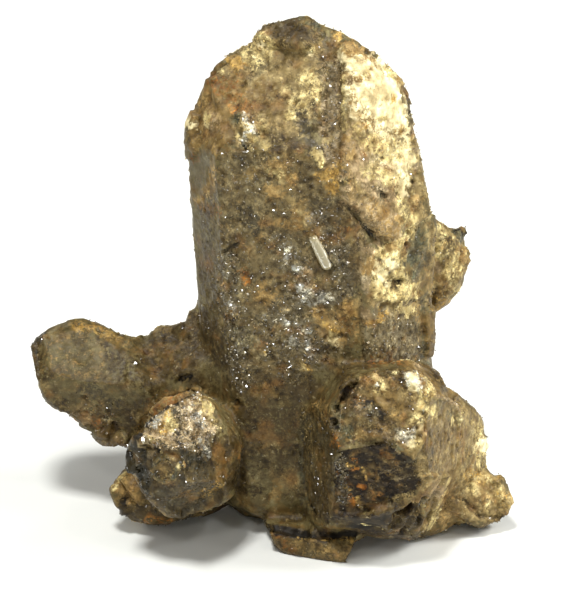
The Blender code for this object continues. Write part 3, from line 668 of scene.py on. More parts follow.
# Small pale and dark places that lie over the others
TOUCHES = [
    streak("brown", [(376, 392), (390, 404), (396, 414)], 9, 0.7),
    streak("ash", [(333, 84), (334, 136)], 6, 0.35),
    streak("tan", [(320, 406), (328, 420)], 6, 0.5),
    streak("umber", [(266, 517), (284, 519), (304, 518)], 4, 0.7),
    streak("umber", [(306, 539), (308, 546)], 4, 0.8),
    streak("umber", [(219, 446), (222, 458), (220, 472)], 8, 1.0),
    streak("umber", [(230, 442), (234, 454), (230, 470)], 7, 1.0),
    # Painted shade: dark spots in the shaded gap between the body and the flake
    *spots("coal", 4, 1.0, [(276, 531), (281, 533), (319, 539), (325, 531), (364, 524), (368, 525)]),
    # Painted shade between the front left crystal and the foot under it
    *spots("umber", 5, 0.9, [(150, 502), (157, 505)]),
    *spots("slate", 5, 0.7, [(340, 418), (347, 425), (308, 462)]),
    streak("coal", [(384, 526), (400, 515), (412, 507)], 3.5, 0.9),
    # Painted shade: a black line along the body's lower edge, where it hangs over the shaded gap to the flake
    line("black", [(352, 525), (368, 526), (382, 522)], 3, 1.0),
    streak("umber", [(228, 453), (236, 468), (240, 486)], 8, 0.8),
    line("black", [(146, 428), (148, 424), (157, 415), (172, 404), (186, 397), (195, 394)], 1.4, 0.9),
    line("tan", [(140, 421), (150, 407), (163, 398), (178, 391), (197, 389)], 2.2, 0.7),
    line("rust", [(142, 424), (153, 410), (166, 400), (180, 393)], 1.5, 0.6),
    line("slate", [(384, 457), (400, 456)], 0.9, 0.8),
    line("slate", [(392, 466), (411, 463)], 0.9, 0.8),
    line("ash", [(380, 475), (402, 470)], 0.8, 0.35),
    line("ash", [(396, 481), (416, 476)], 0.8, 0.4),
    line("khaki", [(394, 500), (404, 497), (414, 494)], 1.4, 0.7),
    *spots("moss", 8, 0.8, [(340, 424), (346, 431)]),
    *spots("pale", 6, 1.0, [(373, 95), (366, 91), (382, 93), (359, 67), (351, 62), (390, 121), (343, 58),
                            (400, 189), (378, 270), (190, 123), (332, 339), (388, 264), (483, 445)]),
    *spots("pale", 4, 1.0, [(311, 54), (263, 45), (271, 51), (313, 294), (311, 281), (449, 291), (422, 427),
                            (208, 124), (421, 428), (414, 388), (410, 442)]),
    *spots("cream", 5, 1.0, [(271, 50), (262, 54), (302, 103), (303, 96), (207, 121), (239, 135),
                             (251, 139), (418, 434), (426, 393), (409, 233), (189, 122), (188, 115),
                             (400, 274), (410, 311), (402, 308), (378, 381), (381, 387), (312, 280),
                             (333, 335), (291, 113), (435, 412), (458, 419), (449, 290), (171, 424),
                             (380, 116), (482, 465), (438, 262), (437, 246), (148, 444)]),
    *spots("pink", 5, 0.9, [(344, 176), (346, 188), (347, 200), (322, 334), (308, 275), (355, 209),
                            (320, 304), (368, 250), (366, 314), (78, 417), (84, 420), (436, 490),
                            (437, 266), (376, 242)]),
    *spots("khaki", 5, 0.8, [(410, 502), (278, 305), (44, 386), (142, 416), (411, 502), (496, 514),
                             (488, 520), (300, 206), (355, 258)]),
    *spots("tan", 5, 0.9, [(416, 198), (395, 218), (350, 154), (369, 261), (367, 268), (397, 81), (391, 247),
                           (460, 250), (462, 260), (349, 51)]),
    *spots("ash", 4, 0.9, [(147, 444), (151, 452), (414, 132), (416, 150), (418, 166), (401, 90)]),
    *spots("brown", 5, 0.9, [(259, 33), (205, 397), (361, 434), (409, 368), (244, 88), (251, 94), (250, 174),
                             (421, 293)]),
    *spots("umber", 5, 0.9, [(370, 434), (378, 434), (219, 268), (219, 280), (292, 300), (296, 307)]),
    *spots("umber", 4, 0.9, [(313, 38), (365, 380), (406, 415), (395, 431), (392, 284), (174, 461)]),
    *spots("black", 3, 0.9, [(140, 436), (332, 420), (336, 428), (381, 414), (370, 402)]),
]

# Places where the druse glitters most, with pale silver patches and white spots painted on its glints:
# painted highlights
SPARKLES = [
    streak("glitter", [(228, 262), (230, 300), (236, 340), (244, 380)], 11, 0.6),
    streak("glitter", [(282, 240), (288, 256), (304, 276)], 11, 0.65),
    streak("glitter", [(292, 290), (312, 298), (334, 297)], 7, 0.7),
    streak("glitter", [(284, 312), (300, 334), (314, 352)], 16, 0.7),
    streak("glitter", [(262, 326), (276, 352), (290, 372)], 12, 0.5),
    streak("glitter", [(322, 216), (338, 250), (342, 290)], 12, 0.6),
    streak("glitter", [(248, 160), (248, 190)], 7, 0.3),
    streak("glitter", [(330, 60), (334, 110), (332, 160)], 6, 0.35),
    streak("glitter", [(340, 460), (344, 500)], 5, 0.6),
    # Pale silver patches painted around the druse's glints: painted highlight
    streak("silver", [(293, 268), (300, 273)], 3, 0.8),
    streak("silver", [(285, 246), (289, 257)], 2.5, 0.8),
    streak("silver", [(304, 290), (318, 299)], 7.0, 0.95),
    streak("pink", [(306, 272), (312, 283)], 5, 0.7),
    streak("silver", [(320, 293), (333, 299)], 3, 0.9),
    streak("silver", [(285, 321), (290, 329)], 3, 0.8),
    streak("silver", [(297, 327), (307, 333)], 3.5, 0.8),
    streak("silver", [(289, 336), (295, 343)], 3, 0.8),
    streak("silver", [(307, 342), (313, 354)], 3.5, 0.8),
    streak("silver", [(231, 303), (234, 312)], 2.0, 0.5),
    # The first thirteen white spots are painted glints of the druse on the front: painted highlights
    *spots("white", 2.4, 0.8, [(297, 270), (302, 275), (305, 290), (310, 294), (314, 297), (307, 280),
                               (327, 296), (332, 299), (287, 250), (291, 339), (303, 330), (288, 325),
                               (311, 349), (401, 436), (406, 440), (410, 436), (405, 432), (413, 431)]),
    spot("white", 405, 436, 6),
]

# Single bright little crystals, and how many of them stand together
GLINTS = [
    (248, 165, 3), (248, 176, 2), (248, 187, 3), (207, 159, 1), (279, 157, 2), (293, 163, 2), (284, 246, 4),
    (286, 251, 4), (290, 258, 3), (297, 267, 3), (301, 272, 5), (305, 276, 4), (309, 279, 3), (238, 278, 2),
    (245, 298, 3), (254, 292, 2), (232, 303, 3), (233, 310, 4), (236, 330, 3), (238, 340, 2), (282, 313, 4),
    (286, 328, 4), (294, 281, 3), (296, 288, 4), (308, 296, 6), (312, 298, 6), (304, 297, 4), (328, 295, 4),
    (332, 298, 4), (337, 213, 2), (340, 240, 3), (343, 250, 3), (322, 234, 3), (328, 242, 3), (334, 252, 3),
    (264, 326, 2), (271, 374, 3), (300, 393, 3), (305, 331, 4), (312, 331, 3), (298, 344, 4), (293, 349, 3),
    (284, 340, 3), (276, 320, 2), (290, 318, 3), (306, 345, 3), (229, 290, 2), (231, 322, 2), (242, 354, 2),
    (256, 372, 2), (250, 388, 1), (262, 398, 2), (282, 386, 2), (332, 66, 2), (330, 84, 2), (335, 100, 2),
    (331, 122, 2), (334, 140, 2), (320, 190, 2), (352, 206, 2), (360, 224, 2), (376, 220, 2), (158, 422, 4),
    (168, 414, 5), (150, 430, 4), (146, 442, 4), (182, 408, 4), (190, 404, 4), (200, 412, 4), (206, 424, 4),
    (196, 430, 4), (186, 436, 4), (196, 444, 5), (204, 448, 4), (176, 430, 3), (212, 440, 3), (138, 456, 3),
    (131, 462, 2), (226, 459, 3), (214, 484, 2), (222, 476, 2), (180, 496, 1), (192, 508, 1), (408, 432, 6),
    (412, 438, 6), (406, 440, 5), (414, 430, 5), (413, 378, 4), (416, 384, 4), (416, 364, 3), (420, 404, 4),
    (424, 412, 3), (372, 380, 3), (378, 386, 3), (360, 396, 3), (352, 404, 3), (366, 408, 2), (344, 508, 3),
    (348, 496, 3), (342, 480, 2), (336, 502, 2), (306, 440, 1), (312, 470, 1), (308, 496, 2), (72, 352, 1),
    (150, 330, 1), (176, 340, 1), (204, 352, 2), (218, 372, 2), (226, 390, 2), (236, 420, 2), (256, 440, 1),
    (270, 470, 1), (288, 500, 1), (318, 400, 1),
]

Stroke = namedtuple("Stroke", "points radius height closed", defaults=(False,))

# Ledges, cracks, pits and ridges, with their height in mm, or depth below zero
STROKES = [
    Stroke(END_FACE_SPLIT, 3.2, -1.0),
    Stroke([(333, 423)], 3.5, -0.8),
    Stroke(PLATE_CRACK, 2.6, -0.25),
    Stroke(CRUST_PIT, 3.0, -0.6),
    Stroke([(406, 244)], 2.5, -0.5),
    Stroke([(383, 196)], 4.0, -0.5),
    Stroke([(414, 182)], 2.5, -0.4),
    Stroke([(244, 145)], 4.0, -0.5),
    Stroke([(262, 132)], 3.5, -0.4),
    Stroke([(235, 403)], 3.5, -0.6),
    Stroke([(243, 84)], 4.0, -0.3),
    Stroke(SCRATCH, 1.8, -0.3),
    Stroke([(394, 518), (414, 506)], 3.0, -0.7),
    Stroke(DEEP_BREAK, 2.5, -0.8),
    Stroke(BROKEN_RIDGE, 3.0, 0.45),
    Stroke(UPPER_BREAK, 2.5, -0.5),
    Stroke(LOWER_BREAK, 2.2, -0.4),
    Stroke([(358, 250), (357, 270), (361, 300), (362, 340), (365, 366)], 2.2, -0.12),
    Stroke(TAIL_GROOVE, 2.0, -0.25),
    Stroke(ring("moss", 166, 468, 12, 0).points, 2.2, 0.35),
    Stroke(ring("moss", 166, 468, 7.5, 0).points, 1.5, 0.2),
    Stroke([(141, 430), (143, 421), (152, 413), (168, 403), (182, 396), (194, 393)], 2.4, -0.7),
    Stroke([(124, 498)], 4.0, -0.6),
    Stroke(NOSE_NOTCH, 2.5, -0.35),
    Stroke(COLLAR_GROOVE, 1.6, -0.3),
    Stroke(ROD_UPPER_RIDGE, 2.5, 0.2),
    Stroke([(344, 60), (372, 52), (400, 78), (412, 124), (404, 176), (410, 215), (388, 244), (371, 230),
            (352, 212), (343, 190), (345, 150)], 1.5, 0.3, True),
    Stroke([(364, 246), (404, 232), (408, 290), (420, 298), (384, 304), (362, 290)], 2.5, 0.25, True),
    Stroke(LEDGED_FACE, 1.2, -0.3, True),
    Stroke([(333, 60), (333, 110), (332, 160)], 7.0, -0.3),
    Stroke([(258, 34), (270, 22), (305, 12), (327, 34), (313, 46), (288, 52), (277, 46)], 1.5, 0.35, True),
    Stroke([(246, 42), (254, 33)], 4.0, -0.4),
    Stroke(RIGHT_CRYSTAL_EDGE, 2.0, 0.25),
    Stroke([(317, 152), (320, 164)], 4.0, 0.35),
    Stroke([(242, 118), (246, 134)], 5.0, 0.25),
    Stroke([(410, 376), (420, 386)], 4.5, 0.35),
    Stroke([(377, 382)], 5.0, 0.25),
    Stroke([(266, 526), (284, 531), (320, 536), (354, 535)], 3.0, -0.5),
    Stroke(SHOULDER_NOTCH, 2.5, -0.4),
    Stroke([(310, 234), (328, 268)], 6.0, -0.3),
    # places where the outline stands out further than the solid
    Stroke([(464, 262), (459, 282), (446, 298)], 5.0, 0.35),
    Stroke([(440, 299), (437, 308)], 6.0, 0.9),
    Stroke([(428, 312), (428, 352)], 4.0, 0.5),
    Stroke([(499, 482), (504, 494), (507, 501)], 5.0, 0.6),
    Stroke([(98, 434), (112, 441), (124, 438)], 5.0, 0.5),
    Stroke([(118, 490), (119, 501), (125, 508)], 6.0, 0.7),
    Stroke([(206, 84), (199, 100), (193, 116)], 6.0, 0.15),
    Stroke([(191, 118), (189, 132), (190, 152)], 7.0, 0.4),
    Stroke([(137, 444), (134, 464)], 7.0, 0.8),
    Stroke([(62, 418), (74, 422)], 6.0, -0.4),
    Stroke([(211, 68), (229, 57)], 5.0, 0.25),
]

# Flat crystal faces, each by its corners in the picture
FLAT_FACES = [
    # the front left crystal: top, left, nose, right and lower faces
    [(144, 441), (169, 407), (198, 391), (212, 407), (223, 430), (220, 437), (183, 452), (152, 447)],
    [(141, 433), (144, 441), (152, 447), (148, 472), (160, 498), (136, 482), (128, 455)],
    [(152, 447), (183, 452), (184, 490), (160, 498), (148, 472)],
    [(183, 452), (220, 437), (236, 452), (226, 478), (184, 478)],
    [(184, 478), (226, 478), (222, 500), (186, 518), (170, 510), (160, 498), (184, 490)],
    # the front right crystal: dark lower face, crumbly upper face and left side
    [(337, 449), (388, 444), (413, 461), (423, 481), (413, 501), (368, 515), (333, 515), (336, 477)],
    [(337, 449), (345, 400), (370, 375), (400, 372), (428, 400), (425, 440), (413, 461), (388, 444)],
    [(316, 402), (337, 449), (336, 477), (333, 515), (318, 519), (301, 505), (300, 430)],
    # the left arm: upper face and two lower faces
    [(42, 338), (75, 325), (128, 352), (125, 385), (75, 380), (43, 368)],
    [(33, 350), (38, 339), (46, 335), (47, 370), (43, 388), (36, 370)],
    [(43, 368), (75, 380), (73, 412), (55, 407), (43, 388)],
    [(75, 380), (125, 385), (115, 415), (73, 412)],
    # the foot under the front left crystal
    LEFT_FOOT_FACE,
    # the right crystal: left and right faces
    [(430, 396), (452, 400), (460, 420), (455, 468), (432, 476), (424, 440)],
    [(462, 418), (474, 424), (484, 436), (484, 466), (470, 474), (458, 468)],
    [(470, 478), (488, 474), (502, 484), (507, 500), (502, 518), (482, 524), (466, 516), (464, 496)],
    # the main crystal: upper left facet and left side
    [(212, 80), (256, 40), (318, 52), (318, 128), (262, 150), (222, 134)],
    [(190, 150), (214, 150), (222, 300), (228, 392), (212, 350), (199, 300)],
]

Trim = namedtuple("Trim", "side points reach")

# Where the outline runs in the picture, at places where the solid stands out past it by up to reach pixels
TRIMS = [
    Trim("top", [(88, 320), (104, 326), (116, 333), (126, 337), (136, 338.5), (142, 335), (149, 330),
                 (160, 327), (172, 326), (186, 322), (189, 312), (196, 307)], 16),
    Trim("top", [(226, 57), (235, 52), (242.5, 47.5), (249, 44), (252, 37), (255, 30), (262, 30), (270, 27.5),
                 (280, 24.5), (288, 23), (298, 20.5), (305, 17), (310, 16), (317.5, 22)], 14),
    Trim("top", [(431.5, 368), (439, 372.4), (442, 379.6), (446, 388), (458, 395), (464, 400), (472.4, 408),
                 (481, 417), (484.4, 425)], 26),
    Trim("top", [(446, 227), (453, 229), (458, 229), (461, 226), (465, 228), (468, 236), (469, 246)], 18),
    Trim("right", [(409.5, 104), (412, 126), (418, 150), (423, 172), (427, 194), (431, 215)], 12),
    Trim("left", [(30, 342), (32, 352), (37, 377), (43, 398), (52, 409)], 10),
    Trim("left", [(269, 528), (272, 536), (275, 545), (280, 551)], 12),
    Trim("right", [(356, 540), (351, 550), (345, 562)], 12),
    Trim("left", [(194, 238), (195, 252), (196.5, 268), (197, 280), (198.5, 292), (198, 304), (194, 310)], 8),
    Trim("under", [(452, 534), (457, 527), (461, 523), (466, 522), (472, 525), (478, 528), (484, 527),
                   (490, 523), (497, 521), (504, 518), (509, 513), (513, 506)], 14),
    Trim("under", [(170, 522), (178, 520), (184, 518), (190, 516), (196, 516), (203, 515)], 8),
]


def line_distance(u, v, points, closed):
    """Distance in pixels from each (u, v) to a line through points, and below zero inside a closed one."""
    ends = points[1:] + points[:1] if closed else points[1:] or points
    best = np.full(len(u), 1e9)
    inside = np.zeros(len(u), bool)
    for (u0, v0), (u1, v1) in zip(points, ends):
        du, dv = u1 - u0, v1 - v0
        share = np.clip(((u - u0) * du + (v - v0) * dv) / max(du * du + dv * dv, 1e-9), 0, 1)
        best = np.minimum(best, np.hypot(u - u0 - share * du, v - v0 - share * dv))
        if closed and v0 != v1:
            inside ^= ((v0 > v) != (v1 > v)) & (u < u0 + (v - v0) / (v1 - v0) * du)
    return np.where(inside, -best, best) if closed else best


class Canvas:
    """The fine surface's points, with what the picture says about each."""

    def __init__(self, places, normals, picture):
        self.places = places
        self.normals = normals
        self.picture = picture
        self.u, self.v, self.depth = picture.project(places)
        self.facing = -(normals @ picture.forward)
        self.wander = 0.9 * fractal(places, 1.6, 4) + 0.9 * fractal(places, 0.55, 3, 31.0)

    def near(self, points, turned_away):
        """Where the surface is about as far away as picture points and doesn't turn away from the camera."""
        found = [self.picture.find(u, v) for u, v in points]
        depths = [(p[0] - self.picture.eye) @ self.picture.forward for p in found if p is not None]
        if not depths:
            return np.zeros(len(self.u))
        beyond = np.maximum(min(depths) - self.depth, self.depth - max(depths))
        return fade(beyond, 2.0, 4.0) * fade(self.facing, turned_away + 0.2, turned_away)

    def cover(self, points, radius, closed=False, ragged=1.0, turned_away=-0.1):
        """From 0 to 1, how much of a picture mark lies on each point, with a ragged edge."""
        away = line_distance(self.u, self.v, points, closed)
        edge = 0.6 * radius if closed else 0.25 * radius
        middle = 0.0 if closed else radius
        away = away + ragged * self.wander * (1.8 * radius if closed else 0.9 * min(radius, 6.0))
        return fade(away, middle - edge, middle + edge) * self.near(points, turned_away)


def flattened(places, normals, picture):
    """The surface's points with each flat crystal face brought onto one plane."""
    all_u, all_v, depth = picture.project(places)
    facing = -(normals @ picture.forward)
    moved = places.copy()
    for corners in FLAT_FACES:
        found = [picture.find(u, v) for u, v in corners]
        on = np.array([f[0] for f in found if f is not None])
        middle = on.mean(0)
        out = np.linalg.svd(on - middle)[2][2]
        away = line_distance(all_u, all_v, corners, True)
        depths = (on - picture.eye) @ picture.forward
        beyond = np.maximum(depths.min() - depth, depth - depths.max())
        share = fade(away, -0.5, 1.5) * fade(beyond, 1.0, 2.5) * fade(facing, 0.1, -0.1)
        height = np.clip((places - middle) @ out, -0.9, 0.9)
        moved -= (share * height)[:, None] * out
    return moved


def trimmed(places, picture):
    """The surface's points with those that stand out past a trimmed outline brought back to it."""
    for trim in TRIMS:
        u, v, depth = picture.project(places)
        edge_u, edge_v = zip(*trim.points)
        across = trim.side in ("left", "right")
        sign = 1 if trim.side in ("right", "under") else -1
        along, edge_along, measured, edge = (v, edge_v, u, edge_u) if across else (u, edge_u, v, edge_v)
        over = sign * (measured - np.interp(along, edge_along, edge))
        inward = sign * (np.array((-1, 0, 0)) if across else picture.up)
        counts = (along > edge_along[0]) & (along < edge_along[-1]) & (over > 0) & (over < trim.reach)
        places = places + inward * (counts * over * depth / picture.scale)[:, None]
    return places


def copied_mesh(node):
    """A new mesh like a CAD node's, in the frame's place."""
    mesh = node.data.copy()
    mesh.transform(node.matrix_world)
    return mesh


def add_object(name, data):
    """A new object in the scene, made of a mesh, a camera or a lamp."""
    made = bpy.data.objects.new(name, data)
    bpy.context.scene.collection.objects.link(made)
    return made


def apply_modifiers(piece):
    """Puts what the modifiers make of the piece into its mesh."""
    depsgraph = bpy.context.evaluated_depsgraph_get()
    done = bpy.data.meshes.new_from_object(piece.evaluated_get(depsgraph))
    piece.modifiers.clear()
    old = piece.data
    piece.data = done
    bpy.data.meshes.remove(old)


def vertex_array(mesh, attribute):
    found = np.empty(len(mesh.vertices) * 3, np.float32)
    mesh.vertices.foreach_get(attribute, found)
    return found.reshape(-1, 3).astype(float)


def fine_surface(node):
    """The node's surface as an even fine mesh, with the solid's flat triangles smoothed away."""
    piece = add_object("cluster_surface", copied_mesh(node))
    remesh = piece.modifiers.new("Remesh", "REMESH")
    remesh.mode = "VOXEL"
    remesh.voxel_size = VOXEL * MM
    smooth = piece.modifiers.new("Smooth", "SMOOTH")
    smooth.factor = 0.5
    smooth.iterations = SMOOTHING_ROUNDS
    apply_modifiers(piece)
    return piece


def relief(canvas, looks):
    """How far in mm each point moves out along its normal, and how high it stands among its neighbours, which
    also sets its painted shade and highlight.
    """
    places = canvas.places
    coarse = fractal(places, 3.0, 3, 7.0)
    broad_facets = facets(places * (1, 1, 0.6), 2.3, 3.0)
    middle_facets = facets(places, 0.95, 9.0)
    small_facets = facets(places, 0.45, 13.0)
    lumps = fractal(places, 0.75, 3, 11.0)
    near, _, _ = cells(places, 1.1, 5.0)
    holes = fade(near, 0.12, 0.4) * fade(fractal(places, 3.0, 2, 3.0), 0.25, -0.1)
    rise = 0.05 * coarse + 0.16 * broad_facets + looks["raised"] * fade(canvas.wander, 0.3, -0.5)
    fine = looks["crumble"] * (1.6 * middle_facets + 1.0 * lumps) + 0.16 * looks["sparkle"] * small_facets
    fine -= looks["pitted"] * 4.0 * holes
    for stroke in STROKES:
        rise += stroke.height * canvas.cover(stroke.points, stroke.radius, stroke.closed, 0.4, -0.3)
    ledges = canvas.cover(LEDGED_FACE, 1.2, True)
    steps = (places[:, 2] + 0.25 * places[:, 0] + 0.35 * fractal(places, 1.5, 3, 23.0)) / LEDGE_HEIGHT
    rise += ledges * (0.28 * (0.5 - steps % 1) + 0.1 * (0.5 - 2.6 * steps % 1))
    return rise + fine, fine


def unseen_looks(canvas, looks):
    """Crusts and stains for the back and the sides that the picture doesn't show."""
    places = canvas.places
    away = fade(canvas.facing, -0.12, 0.1)
    upper = fade(places[:, 2], 40, 15)
    broad = fractal(places, 9.0, 4, 41.0)
    other = fractal(places, 7.0, 4, 57.0)
    small = fractal(places, 3.5, 4, 77.0)
    lay_on(looks, "druse", away * fade(broad, -0.1, 0.1))
    lay_on(looks, "khaki", away * fade(broad, 0.28, 0.12) * (0.5 + 0.5 * upper))
    lay_on(looks, "cream", away * fade(other + 0.25 * upper, 0.42, 0.3) * 0.9)
    lay_on(looks, "brown", away * fade(other, -0.3, -0.15) * 0.8)
    lay_on(looks, "rust", away * fade(small, 0.42, 0.3) * 0.7)
    lay_on(looks, "slate", away * fade(small, -0.45, -0.3) * 0.7)


def tint(looks, finish, cover):
    """Mixes a finish's colour alone into the looks where cover says."""
    for name in COLOURS:
        looks[name] += (np.array(FINISHES[finish].colour) - looks[name]) * cover[:, None]


def darken(looks, light):
    """Makes the colours lighter or darker; a darker place is warmer too."""
    for name in COLOURS:
        looks[name] *= light[:, None] ** np.array(WARMTH)


def mottle(canvas, looks):
    """Breaks up the broad colours with stains, dull places, pale veins and fibres."""
    places = canvas.places
    busy = looks["speckle"]
    warm = fractal(places, 2.0, 4, 111.0)
    dull = fractal(places, 1.5, 4, 131.0)
    vein = np.abs(fractal(places * (1, 1, 0.7), 2.2, 4, 151.0))
    veined = fade(fractal(places, 5.0, 3, 171.0), 0.3, -0.1)
    tint(looks, "brown", fade(warm, 0.4, 0.1) * 0.5 * busy)
    tint(looks, "rust", fade(warm, 0.65, 0.35) * 0.5 * busy)
    tint(looks, "umber", fade(dull, 0.45, 0.1) * 0.55 * busy)
    tint(looks, "khaki", fade(vein, 0.0, 0.07) * 0.5 * busy * veined)
    fibres = fractal(places * (1, 1, 0.22), 0.8, 3, 231.0)
    strength = 0.4 + 3.0 * looks["crumble"]
    lumps = strength * fractal(places, 0.8, 4, 191.0) + 0.3 * fractal(places, 3.2, 2, 211.0)
    darken(looks, np.clip(np.exp(lumps + 0.24 * fibres), 0.5, 1.9))


def lay_on(looks, finish, cover):
    """Lays a finish over the looks where cover says; what lies below shows between its grains."""
    new = FINISHES[finish]
    begun = fade(cover, 0.2, 0.0)
    seen = looks["colour"] + (looks["crust"] - looks["colour"]) * looks["share"][:, None]
    looks["colour"] += (seen - looks["colour"]) * begun[:, None]
    looks["crust"] += (np.array(new.colour) - looks["crust"]) * begun[:, None]
    looks["share"] += (cover - looks["share"]) * begun
    for name in ("roughness", "sparkle", "raised", "crumble", "pitted", "speckle"):
        looks[name] += (getattr(new, name) - looks[name]) * cover


def painted_looks(canvas):
    """Colour and character of each point of the surface."""
    start = FINISHES["olive"]
    count = len(canvas.places)
    looks = {name: np.full(count, float(getattr(start, name))) for name in Finish._fields[1:]}
    for name in COLOURS:
        looks[name] = np.tile(np.array(start.colour), (count, 1))
    looks["share"] = np.zeros(count)
    patches = fractal(canvas.places, 2.2, 4, 91.0)
    lay_on(looks, "brown", fade(patches, 0.25, -0.05) * 0.7)
    lay_on(looks, "umber", fade(patches, -0.4, -0.1) * 0.6)
    unseen_looks(canvas, looks)
    for patch in FIELDS + UPPER_MARKS + LOWER_MARKS + SIDE_MARKS + TOUCHES + SPARKLES:
        cover = canvas.cover(patch.points, patch.radius, patch.closed, patch.ragged) * patch.amount
        lay_on(looks, patch.finish, cover)
    mottle(canvas, looks)
    return looks


def write_attributes(mesh, looks):
    """Stores the looks on the mesh for its material to read."""
    for name in COLOURS:
        paint = mesh.attributes.new(name, "FLOAT_COLOR", "POINT")
        rgba = np.ones((len(mesh.vertices), 4), np.float32)
        rgba[:, :3] = looks[name]
        paint.data.foreach_set("color", rgba.ravel())
    for name in ("share", "roughness", "sparkle", "speckle"):
        made = mesh.attributes.new(name, "FLOAT", "POINT")
        made.data.foreach_set("value", looks[name].astype(np.float32))


def lay_out_texture(piece):
    """Unwraps the surface while it lies even, so that its relief doesn't tear the layout into crumbs."""
    mesh = piece.data
    rough = np.empty(len(mesh.vertices) * 3, np.float32)
    even = np.empty(len(mesh.vertices) * 3, np.float32)
    mesh.vertices.foreach_get("co", rough)
    mesh.attributes["even_place"].data.foreach_get("vector", even)
    mesh.vertices.foreach_set("co", even)
    mesh.uv_layers.new(name=BAKE_LAYOUT)
    bpy.context.view_layer.objects.active = piece
    piece.select_set(True)
    bpy.ops.object.mode_set(mode="EDIT")
    bpy.ops.mesh.select_all(action="SELECT")
    bpy.ops.uv.smart_project(angle_limit=1.15, island_margin=0.002)
    bpy.ops.object.mode_set(mode="OBJECT")
    piece.select_set(False)
    mesh.vertices.foreach_set("co", rough)
    mesh.attributes.remove(mesh.attributes["even_place"])
    mesh.update()


def move_points(mesh, places):
    """Moves the mesh's points to places in mm."""
    mesh.vertices.foreach_set("co", (places * MM).astype(np.float32).ravel())
    mesh.update()


def add_relief_and_paint(mesh, picture):
    """Gives the even surface its outline, flat faces, paint and relief, with painted shade in its hollows and
    pits and a painted highlight on its bumps.
    """
    places = vertex_array(mesh, "co") / MM
    places = trimmed(flattened(places, vertex_array(mesh, "normal"), picture), picture)
    move_points(mesh, places)
    normals = vertex_array(mesh, "normal")
    canvas = Canvas(places, normals, picture)
    looks = painted_looks(canvas)
    rise, fine = relief(canvas, looks)
    # Painted shade and highlight: each point is painted darker the lower it lies in the fine relief and its
    # pits, and lighter the higher it stands
    darken(looks, 1 + np.clip(fine * 4.0, -0.55, 0.5))
    rise = np.clip(rise, DEEPEST, MOST_PROUD) * fade(places[:, 2], BASE_HEIGHT, 0.05)
    moved = places + normals * rise[:, None]
    moved[:, 2] = np.maximum(moved[:, 2], 0.0)
    even = mesh.attributes.new("even_place", "FLOAT_VECTOR", "POINT")
    even.data.foreach_set("vector", (places * MM).astype(np.float32).ravel())
    write_attributes(mesh, looks)
    move_points(mesh, moved)


def picture_of(mesh):
    return Picture(vertex_array(mesh, "co") / MM, [tuple(p.vertices) for p in mesh.polygons])


def weathered_surface(node):
    """The whole outer surface of the cluster, with its relief and paint, and the picture's view of it."""
    piece = fine_surface(node)
    add_relief_and_paint(piece.data, picture_of(piece.data))
    decimate = piece.modifiers.new("Decimate", "DECIMATE")
    decimate.ratio = SURFACE_TRIANGLES / (2 * len(piece.data.polygons))
    apply_modifiers(piece)
    piece.data.shade_smooth()
    lay_out_texture(piece)
    return piece, picture_of(piece.data)


def new_material(name):
    material = bpy.data.materials.new(name)
    material.use_nodes = True
    tree = material.node_tree
    return material, tree, tree.nodes["Principled BSDF"]


def object_place(tree):
    """Where each point lies on its piece."""
    return tree.nodes.new("ShaderNodeTexCoord").outputs["Object"]


def texture_node(tree, size, detail=2.0, roughness=0.6):
    """Noise from 0 to 1 whose lumps are about size mm across."""
    node = tree.nodes.new("ShaderNodeTexNoise")
    node.inputs["Scale"].default_value = 1 / (size * MM)
    node.inputs["Detail"].default_value = detail
    node.inputs["Roughness"].default_value = roughness
    tree.links.new(object_place(tree), node.inputs["Vector"])
    return node.outputs["Fac"]


def map_node(tree, source, low, high, new_low, new_high):
    """Takes source from low..high to new_low..new_high with smooth ends."""
    node = tree.nodes.new("ShaderNodeMapRange")
    node.interpolation_type = "SMOOTHSTEP"
    for name, value in zip(("From Min", "From Max", "To Min", "To Max"), (low, high, new_low, new_high)):
        node.inputs[name].default_value = value
    tree.links.new(source, node.inputs["Value"])
    return node.outputs["Result"]


def fill_sockets(tree, sockets, values):
    """Links each socket to its value, or sets the value if it is a plain one."""
    for socket, value in zip(sockets, values):
        if isinstance(value, bpy.types.NodeSocket):
            tree.links.new(value, socket)
        else:
            socket.default_value = value


def math_node(tree, operation, first, second):
    node = tree.nodes.new("ShaderNodeMath")
    node.operation = operation
    fill_sockets(tree, node.inputs, (first, second))
    return node.outputs["Value"]


def vector_node(tree, operation, *values):
    node = tree.nodes.new("ShaderNodeVectorMath")
    node.operation = operation
    fill_sockets(tree, [s for s in node.inputs if s.enabled], values)
    return node.outputs["Vector"]


def mix_node(tree, kind, factor, first, second):
    """A colour mix; factor, first and second are sockets or plain values."""
    node = tree.nodes.new("ShaderNodeMix")
    node.data_type = "RGBA"
    node.blend_type = kind
    fill_sockets(tree, [s for s in node.inputs if s.enabled], (factor, first, second))
    return next(s for s in node.outputs if s.enabled)


def grey_node(tree, brightness):
    node = tree.nodes.new("ShaderNodeCombineColor")
    fill_sockets(tree, node.inputs, [brightness] * 3)
    return node.outputs["Color"]


def attribute_node(tree, name):
    node = tree.nodes.new("ShaderNodeAttribute")
    node.attribute_name = name
    return node


def crusted_paint(tree):
    """The painted colour, where what lies below shows between the crust's grains."""
    grain_order = map_node(tree, texture_node(tree, 0.42, 5.0, 0.7), 0.32, 0.68, 0.0, 1.0)
    share = math_node(tree, "MULTIPLY", attribute_node(tree, "share").outputs["Fac"], 1.24)
    crusted = map_node(tree, math_node(tree, "SUBTRACT", share, grain_order), 0.0, 0.24, 0.0, 1.0)
    below, crust = (attribute_node(tree, name).outputs["Color"] for name in COLOURS)
    return mix_node(tree, "MIX", crusted, below, crust)


